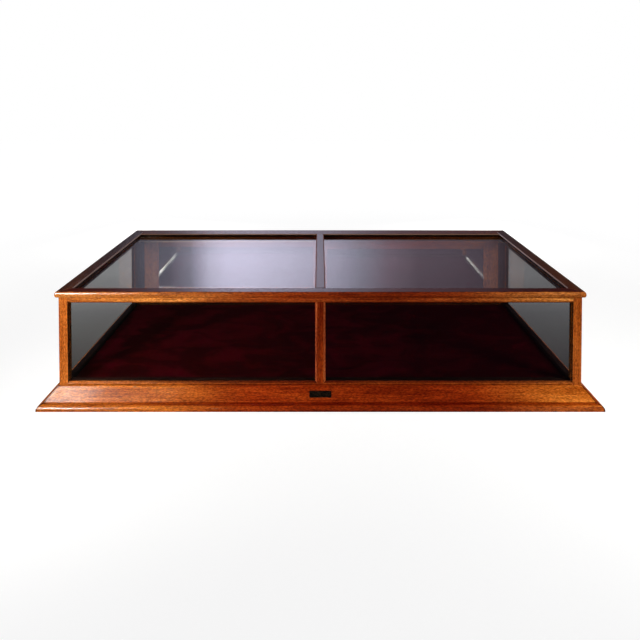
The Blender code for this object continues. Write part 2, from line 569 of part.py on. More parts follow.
def add_door(side, sign, door_y, slip_y):
    """A mirrored door: sign is the side that its outer stile closes against."""
    outer_x = sign * (BAY_X - STOP_WIDTH - 2 * FIT)
    meeting_x = -sign * STILE_WIDTH / 2
    sight_outer = outer_x - sign * STILE_WIDTH
    sight_meeting = meeting_x + sign * STILE_WIDTH
    depth = (door_y, door_y + DOOR_THICKNESS)
    slide = bpy.data.objects.new(f"{side}_door_slide", None)
    slide.location = ((outer_x + meeting_x) / 2, sum(slip_y) / 2, RUNNER_TOP)
    PARTS.objects.link(slide)
    bpy.context.view_layer.update()

    height = (DOOR_BOTTOM, DOOR_TOP)
    outer_stile = box(f"{side}_door_outer_stile", (outer_x, sight_outer), depth, height)
    meeting_stile = box(f"{side}_door_meeting_stile", (meeting_x, sight_meeting), depth, height)
    rail_x = (sight_meeting + sign * FIT, sight_outer - sign * FIT)
    bottom_rail = box(f"{side}_door_bottom_rail", rail_x, depth, (DOOR_BOTTOM, SIGHT_BOTTOM))
    top_rail = box(f"{side}_door_top_rail", rail_x, depth, (SIGHT_TOP, DOOR_TOP))
    members = (outer_stile, meeting_stile, bottom_rail, top_rail)
    for member in members:
        place(member, MAHOGANY, slide)

    tenon_y = (sum(depth) / 2 - DOOR_TENON_THICKNESS / 2, sum(depth) / 2 + DOOR_TENON_THICKNESS / 2)
    for rail, middle in ((bottom_rail, LOW_TENON_Z), (top_rail, HIGH_TENON_Z)):
        tenon_z = (middle - DOOR_TENON_HEIGHT / 2, middle + DOOR_TENON_HEIGHT / 2)
        for stile, shoulder in ((outer_stile, sight_outer), (meeting_stile, sight_meeting)):
            tenon_x = (shoulder - DOOR_TENON_LENGTH, shoulder + DOOR_TENON_LENGTH)
            tenon(rail, stile, f"{rail.name}_{stile.name}", tenon_x, tenon_y, tenon_z)

    rebate_x = (sight_meeting - sign * DOOR_REBATE, sight_outer + sign * DOOR_REBATE)
    rebate_z = (SIGHT_BOTTOM - DOOR_REBATE, SIGHT_TOP + DOOR_REBATE)
    rebate_y = (door_y + DOOR_LIP, door_y + 2 * DOOR_THICKNESS)
    slip_x = (meeting_x - sign * DOOR_THICKNESS, outer_x + sign * DOOR_THICKNESS)
    for member in members:
        cut(member, box(f"{member.name}_rebate", rebate_x, rebate_y, rebate_z))
    for member in (outer_stile, meeting_stile, bottom_rail):
        cut(member, box(f"{member.name}_runner", slip_x, slip_y, (0, RUNNER_TOP), grow=FIT))
    for member in (outer_stile, meeting_stile, top_rail):
        cut(member, box(f"{member.name}_guide", slip_x, slip_y, (GUIDE_FOOT, CASE_HEIGHT), grow=FIT))

    low_x, high_x = min(rebate_x) + FIT, max(rebate_x) - FIT
    low_z, high_z = rebate_z[0] + FIT, rebate_z[1] - FIT
    mirror_y = door_y + DOOR_LIP + FIT
    panel_y = mirror_y + MIRROR_THICKNESS + FIT
    bead_y = (panel_y + BACK_PANEL_THICKNESS + FIT, depth[1])
    sheet_x, sheet_z = (low_x, high_x), (low_z, high_z)
    mirror_sheet = box(f"{side}_door_mirror", sheet_x, (mirror_y, mirror_y + MIRROR_THICKNESS), sheet_z)
    back_panel = box(f"{side}_door_back_panel", sheet_x, (panel_y, panel_y + BACK_PANEL_THICKNESS), sheet_z)
    place(mirror_sheet, MIRROR, slide)
    place(back_panel, PINE, slide)
    bead_frame = box(f"{side}_door_bead_frame", sheet_x, bead_y, sheet_z)
    place(bead_frame, MAHOGANY, slide)
    cut(bead_frame, box(f"{side}_door_bead_opening", (low_x + BEAD_WIDTH, high_x - BEAD_WIDTH),
                        rebate_y, (low_z + BEAD_WIDTH, high_z - BEAD_WIDTH)))

    pull_frame = Matrix.Rotation(-math.pi / 2, 4, "X")
    pull_x = outer_x - sign * (STILE_WIDTH - DOOR_REBATE) / 2
    pull_frame.translation = (pull_x, depth[1], (DOOR_BOTTOM + DOOR_TOP) / 2)
    cup_inside = PULL_CUP_RADIUS - PULL_WALL
    cup = [(0, PULL_WALL - PULL_DEPTH), (cup_inside, PULL_WALL - PULL_DEPTH), (cup_inside, 0),
           (PULL_FLANGE_RADIUS, 0), (PULL_FLANGE_RADIUS, -PULL_WALL), (PULL_CUP_RADIUS, -PULL_WALL),
           (PULL_CUP_RADIUS, -PULL_DEPTH), (0, -PULL_DEPTH)]
    flange_hole, cup_hole = PULL_FLANGE_RADIUS + FIT, PULL_CUP_RADIUS + FIT
    recess = [(0, PULL_WALL), (flange_hole, PULL_WALL), (flange_hole, -PULL_WALL - FIT),
              (cup_hole, -PULL_WALL - FIT), (cup_hole, -PULL_DEPTH - FIT), (0, -PULL_DEPTH - FIT)]
    place(turned(f"{side}_door_pull", cup, pull_frame, PULL_STEPS), BRASS, slide)
    cut(outer_stile, turned(f"{side}_pull_recess", recess, pull_frame, PULL_STEPS))


for side, sign, track_name, track in (("left", -1, "outer", 1), ("right", 1, "inner", 0)):
    door_y = JAMB_Y + DOOR_SETBACK + track * TRACK_PITCH
    slip_y = add_track(track_name, door_y)
    add_door(side, sign, door_y, slip_y)
    stop_x = (sign * (BAY_X - FIT), sign * (BAY_X - FIT - STOP_WIDTH))
    stop_y = (door_y, door_y + DOOR_THICKNESS)
    place(box(f"door_stop_{side}", stop_x, stop_y, (RUNNER_TOP + FIT, GUIDE_FOOT - FIT)), MAHOGANY)
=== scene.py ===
"""The looks of a mahogany counter display case: timber, glass, mirrors, velvet and metal on its solids."""
import math

import bpy
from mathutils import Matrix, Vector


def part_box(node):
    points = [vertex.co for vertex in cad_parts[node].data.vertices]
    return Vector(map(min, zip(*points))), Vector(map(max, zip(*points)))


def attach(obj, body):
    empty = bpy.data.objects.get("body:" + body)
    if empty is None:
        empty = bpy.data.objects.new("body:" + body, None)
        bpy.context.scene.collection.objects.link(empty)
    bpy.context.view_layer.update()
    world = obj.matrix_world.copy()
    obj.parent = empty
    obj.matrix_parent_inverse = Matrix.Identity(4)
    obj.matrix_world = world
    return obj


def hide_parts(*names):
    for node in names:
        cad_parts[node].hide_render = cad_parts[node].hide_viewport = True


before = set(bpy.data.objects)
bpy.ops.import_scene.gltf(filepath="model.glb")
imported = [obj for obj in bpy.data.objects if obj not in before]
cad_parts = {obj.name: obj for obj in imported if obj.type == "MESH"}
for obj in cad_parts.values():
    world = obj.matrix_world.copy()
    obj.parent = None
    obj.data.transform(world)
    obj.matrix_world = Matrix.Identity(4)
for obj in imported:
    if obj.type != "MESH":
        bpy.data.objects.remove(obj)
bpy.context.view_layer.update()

# Deck and battens: bare softwood boards, planed on both faces, that nobody sees once the case stands.
# The deck lies on three battens, which are glued and screwed to the plinth and to the board behind it.
# Every board of the case has its sharp edges taken off with a few strokes of a block plane.
GRAIN_TURN = {
    "X": (0.0, 0.0, 0.0),
    "Y": (0.0, 0.0, math.radians(-90)),
    "Z": (0.0, math.radians(90), 0.0),
}
PINE = {
    "tones": ((0.300, 0.165, 0.068), (0.470, 0.300, 0.140), (0.580, 0.410, 0.220)),
    "pore_tone": (0.260, 0.140, 0.060),
    "streak": (0.0065, 0.42),
    "pore": (0.0012, 0.030, 0.35),
    "roughness": (0.55, 0.72),
    "gloss": 0.3,
    "polish": 0.0,
    "polish_roughness": 0.3,
}
MARK_ROUGHNESS = 0.55
FIGURE_SIZE = (0.034, 0.260)
FIGURE_SHARES = (0.36, 0.36, 0.28)
FIGURE_LIMITS = (0.36, 0.64)
TONE_STOPS = (0.38, 0.50, 0.62)
PORES_OPEN = (0.54, 0.68)
GRAIN_DEPTH = 0.00022
BOARD_ARRIS = 0.0010
SAME_POINT = 0.00002
SAME_PLANE = math.radians(0.5)
SHARP_EDGE = math.radians(32)
ROUND_EDGE = math.radians(35)
PINE_EDGE_CUT = (0.3, 0.7, 0.2)
PINE_FIRST_CUT = (0.0, 0.0, 0.2)
PINE_NEXT_CUT = (0.9, 0.37, 0.0)


def log_cut(number, first, step):
    """Where in its log the numbered board of a row was cut, so that no two show the same grain."""
    return tuple(start + number * further for start, further in zip(first, step))


def grain_noise(tree, board, across, along, detail, swirl=0.0):
    """Noise drawn out along a board, with marks of the given width and length in metres."""
    stretch = tree.nodes.new("ShaderNodeMapping")
    stretch.inputs["Scale"].default_value = (1 / along, 1 / across, 1 / across)
    tree.links.new(board, stretch.inputs["Vector"])
    noise = tree.nodes.new("ShaderNodeTexNoise")
    noise.inputs["Scale"].default_value = 1.0
    noise.inputs["Detail"].default_value = detail
    noise.inputs["Roughness"].default_value = MARK_ROUGHNESS
    noise.inputs["Distortion"].default_value = swirl
    tree.links.new(stretch.outputs["Vector"], noise.inputs["Vector"])
    return noise.outputs["Fac"]


def spread(tree, value, low, high, to_low, to_high):
    """A value between two limits, moved smoothly to two others."""
    node = tree.nodes.new("ShaderNodeMapRange")
    node.interpolation_type = "SMOOTHSTEP"
    for socket, number in zip(node.inputs[1:5], (low, high, to_low, to_high)):
        socket.default_value = number
    tree.links.new(value, node.inputs["Value"])
    return node.outputs["Result"]


def reckon(tree, way, first, second):
    """Arithmetic on two values, each a socket or a number."""
    node = tree.nodes.new("ShaderNodeMath")
    node.operation = way
    for socket, value in zip(node.inputs, (first, second)):
        if isinstance(value, bpy.types.NodeSocket):
            tree.links.new(value, socket)
        else:
            socket.default_value = value
    return node.outputs["Value"]


def tinted(tree, amount, under, over, way="MIX"):
    """One colour laid over another, each a socket or three numbers."""
    node = tree.nodes.new("ShaderNodeMix")
    node.data_type = "RGBA"
    node.blend_type = way
    for socket, value in zip((node.inputs[0], node.inputs[6], node.inputs[7]), (amount, under, over)):
        if isinstance(value, bpy.types.NodeSocket):
            tree.links.new(value, socket)
        elif isinstance(value, tuple):
            socket.default_value = (*value, 1.0)
        else:
            socket.default_value = value
    return node.outputs[2]


def toned(tree, value, stops):
    """A run of tones along a value, given as pairs of place and colour."""
    ramp = tree.nodes.new("ShaderNodeValToRGB")
    steps = ramp.color_ramp.elements
    while len(steps) < len(stops):
        steps.new(0.5)
    for step, (at, tone) in zip(steps, stops):
        step.position = at
        step.color = (*tone, 1.0)
    tree.links.new(value, ramp.inputs["Fac"])
    return ramp.outputs["Color"]


def surface(name, coat=0.0, coat_roughness=0.3):
    """A new material with its shader, its node tree and the place of each point on the case."""
    material = bpy.data.materials.new(name)
    material.use_nodes = True
    tree = material.node_tree
    shader = tree.nodes["Principled BSDF"]
    shader.inputs["Coat Weight"].default_value = coat
    shader.inputs["Coat Roughness"].default_value = coat_roughness
    place = tree.nodes.new("ShaderNodeTexCoord")
    return material, tree, shader, place.outputs["Object"]


def relief(tree, shader, height, strength, depth):
    """Bumps of the given depth in metres on a shader."""
    bump = tree.nodes.new("ShaderNodeBump")
    bump.inputs["Strength"].default_value = strength
    bump.inputs["Distance"].default_value = depth
    tree.links.new(height, bump.inputs["Height"])
    tree.links.new(bump.outputs["Normal"], shader.inputs["Normal"])
    tree.links.new(bump.outputs["Normal"], shader.inputs["Coat Normal"])


def timber(name, runs, shift, wood):
    """Wood with its grain along one axis: broad figure, fine streaks and short dark pores."""
    material, tree, shader, place = surface(name, wood["polish"], wood["polish_roughness"])
    shader.inputs["Specular IOR Level"].default_value = wood["gloss"]
    streak = wood["streak"]
    pore = wood["pore"]
    board = tree.nodes.new("ShaderNodeMapping")
    board.inputs["Rotation"].default_value = GRAIN_TURN[runs]
    board.inputs["Location"].default_value = shift
    tree.links.new(place, board.inputs["Vector"])
    along = board.outputs["Vector"]
    figure = grain_noise(tree, along, *FIGURE_SIZE, detail=2.0, swirl=0.6)
    streaks = grain_noise(tree, along, *streak, detail=4.0, swirl=0.3)
    hairs = grain_noise(tree, along, streak[0] / 4, streak[1] / 5, detail=3.0)
    pores = grain_noise(tree, along, pore[0], pore[1], detail=1.0)
    whole = reckon(tree, "MULTIPLY", figure, FIGURE_SHARES[0])
    whole = reckon(tree, "ADD", whole, reckon(tree, "MULTIPLY", streaks, FIGURE_SHARES[1]))
    whole = reckon(tree, "ADD", whole, reckon(tree, "MULTIPLY", hairs, FIGURE_SHARES[2]))
    colour = toned(tree, whole, tuple(zip(TONE_STOPS, wood["tones"])))
    # Painted light: the colour turns paler and more golden away from the middle of the case.
    if "lit_end_tones" in wood:
        pale = toned(tree, whole, tuple(zip(TONE_STOPS, wood["lit_end_tones"])))
        ends = tree.nodes.new("ShaderNodeSeparateXYZ")
        tree.links.new(place, ends.inputs["Vector"])
        from_middle = reckon(tree, "ABSOLUTE", reckon(tree, "SUBTRACT", ends.outputs["X"], LIT_ENDS_MIDDLE), 0.0)
        colour = tinted(tree, spread(tree, from_middle, *wood["lit_end_span"], 0.0, 1.0), colour, pale)
    if "fleck" in wood:
        flecks = grain_noise(tree, along, *FLECK_SIZE, detail=2.0)
        shade = spread(tree, flecks, *FLECK_LIMITS, *wood["fleck"])
        colour = tinted(tree, 1.0, colour, shade, "MULTIPLY")
    open_pores = spread(tree, pores, *PORES_OPEN, 0.0, 1.0)
    colour = tinted(tree, reckon(tree, "MULTIPLY", open_pores, pore[2]), colour, wood["pore_tone"])
    tree.links.new(colour, shader.inputs["Base Color"])
    tree.links.new(spread(tree, whole, *FIGURE_LIMITS, *wood["roughness"]), shader.inputs["Roughness"])
    relief(tree, shader, reckon(tree, "SUBTRACT", streaks, open_pores), strength=0.35, depth=GRAIN_DEPTH)
    return material


def eased(node, body, arris, finish, edge_finish):
    """A copy of a planed solid with its sharp edges taken off, which stands for the solid."""
    board = bpy.data.objects.new(node + "_planed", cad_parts[node].data.copy())
    bpy.context.scene.collection.objects.link(board)
    board.data.materials.clear()
    board.data.materials.append(finish)
    board.data.materials.append(edge_finish)
    bpy.ops.object.select_all(action="DESELECT")
    board.select_set(True)
    bpy.context.view_layer.objects.active = board
    bpy.ops.object.mode_set(mode="EDIT")
    bpy.ops.mesh.select_all(action="SELECT")
    bpy.ops.mesh.remove_doubles(threshold=SAME_POINT)
    bpy.ops.mesh.customdata_custom_splitnormals_clear()
    bpy.ops.mesh.dissolve_limited(angle_limit=SAME_PLANE)
    bpy.ops.object.mode_set(mode="OBJECT")
    plane = board.modifiers.new("block_plane", "BEVEL")
    plane.width = arris
    plane.segments = 2
    plane.limit_method = "ANGLE"
    plane.angle_limit = SHARP_EDGE
    plane.material = 1
    bpy.ops.object.modifier_apply(modifier=plane.name)
    bpy.ops.object.shade_smooth_by_angle(angle=ROUND_EDGE)
    flats = board.modifiers.new("flat_faces", "WEIGHTED_NORMAL")
    flats.keep_sharp = True
    flats.weight = 100
    bpy.ops.object.modifier_apply(modifier=flats.name)
    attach(board, body)
    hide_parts(node)
    return board


def pine(name, runs, shift):
    """Bare softwood, slightly grey with age."""
    return timber(name, runs, shift, PINE)


pine_edge = pine("pine_edge", "X", PINE_EDGE_CUT)
for number, (node, runs) in enumerate(
    (("batten_front", "X"), ("batten_back", "X"), ("batten_centre", "Y"), ("base_board", "X"))
):
    board_pine = pine(node + "_pine", runs, log_cut(number, PINE_FIRST_CUT, PINE_NEXT_CUT))
    eased(node, "case", BOARD_ARRIS, board_pine, pine_edge)

# Plinth: broad sloping mahogany mouldings, run with a slope, a narrow quirk and an ovolo at the foot.
# The front and ends are mitred and glued to the rails, and a plain board closes the rear. The thick polish
# has rubbed through along the arrises. Towards the ends the wood is paler and more golden, as painted light,
# and painted shade darkens the quirk, the mitres and the right part of the foot.
# Painted light on the mahogany: paler, more golden tones towards both ends of the case, where the lamps
# light it most.
LIT_ENDS_MIDDLE = 0.09
FLECK_SIZE = (0.0023, 0.0060)
FLECK_LIMITS = (0.34, 0.66)
MAHOGANY = {
    "tones": ((0.130, 0.010, 0.0012), (0.300, 0.034, 0.0040), (0.440, 0.070, 0.0080)),
    "lit_end_tones": ((0.220, 0.040, 0.0045), (0.440, 0.112, 0.0150), (0.600, 0.190, 0.0330)),
    "lit_end_span": (0.15, 0.50),
    "fleck": (0.62, 1.30),
    "pore_tone": (0.045, 0.0035, 0.0008),
    "streak": (0.0042, 0.110),
    "pore": (0.0010, 0.010, 0.55),
    "roughness": (0.34, 0.48),
    "gloss": 0.0,
    "polish": 1.0,
    "polish_roughness": 0.16,
}
RUBBED_MAHOGANY = {
    "tones": ((0.220, 0.030, 0.0040), (0.360, 0.060, 0.0080), (0.480, 0.100, 0.0150)),
    "lit_end_tones": ((0.300, 0.065, 0.0120), (0.480, 0.130, 0.0240), (0.620, 0.200, 0.0420)),
    "lit_end_span": (0.15, 0.50),
    "fleck": (0.70, 1.25),
    "pore_tone": (0.120, 0.016, 0.0040),
    "streak": (0.0030, 0.060),
    "pore": (0.0010, 0.008, 0.60),
    "roughness": (0.34, 0.50),
    "gloss": 0.0,
    "polish": 0.6,
    "polish_roughness": 0.24,
}
MOULDING_ARRIS = 0.0007
MITRE_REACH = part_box("post_front_right")[1].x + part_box("post_front_right")[0].y
# Painted shade on the plinth: a dark mark along each mitre, a dark quirk that lightens at the left end, and
# a darker foot on the right.
MITRE_PAINTED_SHADE = (0.160, 0.130, 0.160)
MITRE_LINE = (0.0014, 0.0044)
QUIRK_PAINTED_SHADE = (0.580, 0.280, 0.130)
QUIRK_LINE = (0.0108, 0.0122, 0.0150, 0.0160)
QUIRK_SHADE_LIFTS = (-0.58, -0.36)
QUIRK_SHADE_AMOUNT = (0.1, 0.9)
FOOT_PAINTED_SHADE = (0.760, 0.620, 0.900)
FOOT_TOP = (0.0100, 0.0115)
FOOT_SHADE_FROM = (0.10, 0.42)
PLINTH_MAHOGANY = {
    **MAHOGANY,
    "tones": ((0.120, 0.0075, 0.0008), (0.285, 0.0265, 0.0026), (0.430, 0.0560, 0.0054)),
    "lit_end_tones": ((0.250, 0.0450, 0.0038), (0.495, 0.127, 0.0125), (0.670, 0.214, 0.0280)),
    "lit_end_span": (0.22, 0.52),
    "polish": 0.80,
}
PLINTH_ENDS = {**PLINTH_MAHOGANY, "polish": 0.30, "polish_roughness": 0.30}
PLINTH_FIRST_CUT = (0.13, 0.2, 0.0)
PLINTH_NEXT_CUT = (1.7, 0.43, 0.31)
ARRIS_CUT = (0.4, 0.1, 0.8)


def rubbed_mahogany(name, runs, shift):
    """Mahogany along an edge, where hands and dusters have thinned the polish."""
    return timber(name, runs, shift, RUBBED_MAHOGANY)


def shade_plinth(material):
    """Painted shade on the plinth: dark marks along its quirk and mitres, and a darker foot towards the
    right.
    """
    tree = material.node_tree
    shader = tree.nodes["Principled BSDF"]
    plain_colour = shader.inputs["Base Color"].links[0].from_socket
    place = tree.nodes.new("ShaderNodeTexCoord")
    parts = tree.nodes.new("ShaderNodeSeparateXYZ")
    tree.links.new(place.outputs["Object"], parts.inputs["Vector"])
    reach = reckon(tree, "ADD", reckon(tree, "ABSOLUTE", parts.outputs["X"], 0.0), parts.outputs["Y"])
    away = reckon(tree, "ABSOLUTE", reckon(tree, "SUBTRACT", reach, MITRE_REACH), 0.0)
    mitre = spread(tree, away, *MITRE_LINE, 1.0, 0.0)
    above = spread(tree, parts.outputs["Z"], *QUIRK_LINE[:2], 0.0, 1.0)
    quirk = reckon(tree, "MULTIPLY", above, spread(tree, parts.outputs["Z"], *QUIRK_LINE[2:], 1.0, 0.0))
    quirk = reckon(tree, "MULTIPLY", quirk, spread(tree, parts.outputs["X"], *QUIRK_SHADE_LIFTS, *QUIRK_SHADE_AMOUNT))
    foot = spread(tree, parts.outputs["Z"], *FOOT_TOP, 1.0, 0.0)
    foot = reckon(tree, "MULTIPLY", foot, spread(tree, parts.outputs["X"], *FOOT_SHADE_FROM, 0.0, 1.0))
    colour = tinted(tree, foot, plain_colour, FOOT_PAINTED_SHADE, "MULTIPLY")
    colour = tinted(tree, quirk, colour, QUIRK_PAINTED_SHADE, "MULTIPLY")
    tree.links.new(tinted(tree, mitre, colour, MITRE_PAINTED_SHADE, "MULTIPLY"), shader.inputs["Base Color"])
    return material


for number, (node, runs, finish) in enumerate(
    (
        ("plinth_front", "X", PLINTH_MAHOGANY),
        ("plinth_left", "Y", PLINTH_ENDS),
        ("plinth_right", "Y", PLINTH_ENDS),
        ("plinth_back", "X", PLINTH_MAHOGANY),
    )
):
    wood = timber(node + "_mahogany", runs, log_cut(number, PLINTH_FIRST_CUT, PLINTH_NEXT_CUT), finish)
    edge = rubbed_mahogany(node + "_arris", runs, ARRIS_CUT)
    # Painted shade goes on the front and end mouldings.
    if node != "plinth_back":
        wood = shade_plinth(wood)
        edge = shade_plinth(edge)
    eased(node, "case", MOULDING_ARRIS, wood, edge)

# Plate: a small sheet of bronze on the slope of the plinth, left bare, with a dark and uneven patina.
# Two round-headed pins of the same metal hold it through holes at its ends.
BRONZE_DARK = (0.010, 0.0075, 0.0055)
BRONZE_BROWN = (0.046, 0.023, 0.012)
BRONZE_WORN = (0.115, 0.080, 0.045)
BRONZE_CLOUDS = (0.0060, 0.0090)
BRONZE_SPECKS = (0.0009, 0.0016)
BRONZE_SCRATCHES = (0.0004, 0.0120)
BRONZE_SCRATCH_DEPTH = 0.00008
BRONZE_CLOUDED = (0.38, 0.66, 0.0, 1.0)
BRONZE_CLEARED = (0.45, 0.6, 0.2, 1.0)
BRONZE_SPECKED = (0.56, 0.74, 0.0, 0.8)
BRONZE_ROUGHNESS = (0.35, 0.65, 0.36, 0.56)
BRONZE_METALLIC = 0.85
PLATE_ARRIS = 0.00018


def patinated_bronze(name):
    """Bronze that has gone nearly black, with brown clouds and brighter rubbed specks."""
    material, tree, shader, place = surface(name)
    clouds = grain_noise(tree, place, *BRONZE_CLOUDS, detail=4.0, swirl=0.8)
    specks = grain_noise(tree, place, *BRONZE_SPECKS, detail=3.0)
    scratches = grain_noise(tree, place, *BRONZE_SCRATCHES, detail=2.0)
    colour = tinted(tree, spread(tree, clouds, *BRONZE_CLOUDED), BRONZE_DARK, BRONZE_BROWN)
    rubbed_clear = spread(tree, clouds, *BRONZE_CLEARED)
    bright = reckon(tree, "MULTIPLY", spread(tree, specks, *BRONZE_SPECKED), rubbed_clear)
    tree.links.new(tinted(tree, bright, colour, BRONZE_WORN), shader.inputs["Base Color"])
    tree.links.new(spread(tree, scratches, *BRONZE_ROUGHNESS), shader.inputs["Roughness"])
    shader.inputs["Metallic"].default_value = BRONZE_METALLIC
    relief(tree, shader, scratches, strength=0.2, depth=BRONZE_SCRATCH_DEPTH)
    return material


bronze = patinated_bronze("patinated_bronze")
for node in ("nameplate", "nameplate_pin_left", "nameplate_pin_right"):
    eased(node, "case", PLATE_ARRIS, bronze, bronze)

# Carcass: four posts, a mullion and rails of planed mahogany, tenoned together, with a groove for the glass
# and a bevel towards it. The centre rail runs from the front rail to the head over the doors.
# The faces inside the case are painted nearly black, as painted shade where little light reaches them.
CARCASS_ARRIS = 0.0006
CARCASS_FIRST_CUT = (0.15, 0.0, 0.4)
CARCASS_NEXT_CUT = (0.61, 0.29, 0.17)
SHADE_BLACK_CUT = (0.5, 0.2, 0.9)
FORWARD = (0.0, -1.0, 0.0)
BEVEL_FACING = (0.0, -0.62, 0.78)
BROADLY = (0.30, 0.50)
SQUARELY = (0.86, 0.95)
CLOSELY = (0.94, 0.98)
RAIL_FRONT_DARKENED = (0.640, 0.560, 0.340)
MULLION_PAINTED_HIGHLIGHT = (1.70, 2.80, 6.00)
SHADE_BLACK_WOOD = {
    "tones": ((0.0050, 0.0024, 0.0020), (0.0090, 0.0042, 0.0034), (0.0150, 0.0070, 0.0056)),
    "pore_tone": (0.0030, 0.0015, 0.0012),
    "streak": (0.0042, 0.110),
    "pore": (0.0010, 0.010, 0.55),
    "roughness": (0.50, 0.66),
    "gloss": 0.0,
    "polish": 0.0,
    "polish_roughness": 0.3,
}
POLISHED_SHADE_BLACK = {
    **SHADE_BLACK_WOOD,
    "streak": (0.160, 0.800),
    "pore": (0.120, 0.600, 0.0),
    "polish": 0.25,
    "polish_roughness": 0.08,
}
BEVEL_PAINTED_SHADE = (0.420, 0.370, 0.410)
BEVEL_SHADE_LIFTS = (-0.62, -0.28)
POST_PAINTED_SHADE = (0.760, 0.660, 0.600)
RAIL_PAINTED_LIGHT = (1.280, 1.650, 2.100)
INSIDE_PAINTED_SHADE = (0.300, 0.360, 0.500)
BLACK_PAINTED_SHADE = (0.070, 0.080, 0.120)
SHADE_BLACK_FROM = 0.35
# Painted shade: near-black wood on the bottom rails' inner faces and on the strips behind their panes.
RAILS_IN_SHADE = {
    "bottom_rail_front": ((0.0, 0.60, 0.80), "glass_front_left", SHADE_BLACK_WOOD),
    "bottom_rail_left": ((0.45, 0.0, 0.89), "glass_side_left", POLISHED_SHADE_BLACK),
    "bottom_rail_right": ((-0.45, 0.0, 0.89), "glass_side_right", POLISHED_SHADE_BLACK),
}


def mahogany(name, runs, shift):
    """Red-brown mahogany under old glossy polish."""
    return timber(name, runs, shift, MAHOGANY)


def light_and_shade_by_facing(material, facing, stain, within=BROADLY, way="MULTIPLY", x_ramp=None):
    """Lays a colour on the faces of a finished wood that look in one direction, or near it, mostly as
    painted light and shade.
    """
    tree = material.node_tree
    shader = tree.nodes["Principled BSDF"]
    plain_colour = shader.inputs["Base Color"].links[0].from_socket
    outward = tree.nodes.new("ShaderNodeTexCoord")
    turned = tree.nodes.new("ShaderNodeVectorMath")
    turned.operation = "DOT_PRODUCT"
    length = math.hypot(*facing)
    turned.inputs[1].default_value = [part / length for part in facing]
    tree.links.new(outward.outputs["Normal"], turned.inputs[0])
    amount = spread(tree, turned.outputs["Value"], *within, 0.0, 1.0)
    if x_ramp:
        parts = tree.nodes.new("ShaderNodeSeparateXYZ")
        tree.links.new(outward.outputs["Object"], parts.inputs["Vector"])
        amount = reckon(tree, "MULTIPLY", amount, spread(tree, parts.outputs["X"], *x_ramp, 0.0, 1.0))
    tree.links.new(tinted(tree, amount, plain_colour, stain, way), shader.inputs["Base Color"])
    return material


def paint_rail_shade(board, runs, inward, pane, wood):
    """The faces of a rail that look into the case, and those behind its pane, get near-black wood as painted
    shade.
    """
    board.data.materials.append(timber(board.name + "_shade_black", runs, SHADE_BLACK_CUT, wood))
    low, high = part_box(pane)
    middle = (low + high) / 2
    for face in board.data.polygons:
        facing = sum(part * way for part, way in zip(face.normal, inward))
        behind = (face.center.x - middle.x) * inward[0] + (face.center.y - middle.y) * inward[1]
        if facing > SHADE_BLACK_FROM or behind > 0.0:
            face.material_index = 2


for number, (node, runs, inward, stain) in enumerate(
    (
        ("post_front_left", "Z", (1, 1, 0), INSIDE_PAINTED_SHADE),
        ("post_front_right", "Z", (-1, 1, 0), INSIDE_PAINTED_SHADE),
        ("post_rear_left", "Z", (1, -1, 0), BLACK_PAINTED_SHADE),
        ("post_rear_right", "Z", (-1, -1, 0), BLACK_PAINTED_SHADE),
        ("mullion_front", "Z", (0, 1, 0), INSIDE_PAINTED_SHADE),
        ("bottom_rail_front", "X", (0, 1, 0.8), BLACK_PAINTED_SHADE),
        ("bottom_rail_left", "Y", (1, 0, 0.6), BLACK_PAINTED_SHADE),
        ("bottom_rail_right", "Y", (-1, 0, 0.6), BLACK_PAINTED_SHADE),
        ("top_rail_front", "X", (0, 1, -0.4), BLACK_PAINTED_SHADE),
        ("top_rail_left", "Y", (1, 0, -0.6), BLACK_PAINTED_SHADE),
        ("top_rail_right", "Y", (-1, 0, -0.6), BLACK_PAINTED_SHADE),
        ("centre_rail", "Y", (0, 0, -1), BLACK_PAINTED_SHADE),
    )
):
    shift = log_cut(number, CARCASS_FIRST_CUT, CARCASS_NEXT_CUT)
    # Painted shade: the faces that look into the case are darkened, the rear ones nearly to black.
    wood = light_and_shade_by_facing(mahogany(node + "_mahogany", runs, shift), inward, stain)
    edge = light_and_shade_by_facing(rubbed_mahogany(node + "_arris", runs, shift), inward, stain)
    if node == "bottom_rail_front":
        # The bottom rail's front face is darkened and made redder.
        wood = light_and_shade_by_facing(wood, FORWARD, RAIL_FRONT_DARKENED, SQUARELY)
        # Painted shade: the bottom rail's bevel is darkened, less towards the left end where the lamp falls.
        wood = light_and_shade_by_facing(wood, BEVEL_FACING, BEVEL_PAINTED_SHADE, SQUARELY, x_ramp=BEVEL_SHADE_LIFTS)
    if node == "top_rail_front":
        # Painted light: the top rail's front face is lightened and made paler.
        wood = light_and_shade_by_facing(wood, FORWARD, RAIL_PAINTED_LIGHT, SQUARELY)
    if node == "post_front_right":
        # Painted shade: the right front post's front face is darkened.
        wood = light_and_shade_by_facing(wood, FORWARD, POST_PAINTED_SHADE, SQUARELY)
    if node == "mullion_front":
        # Painted highlight: the mullion's two front chamfers are lightened and made paler.
        for side in (1.0, -1.0):
            wood = light_and_shade_by_facing(wood, (side, -1.0, 0.0), MULLION_PAINTED_HIGHLIGHT, CLOSELY)
    board = eased(node, "case", CARCASS_ARRIS, wood, edge)
    if node in RAILS_IN_SHADE:
        paint_rail_shade(board, runs, *RAILS_IN_SHADE[node])

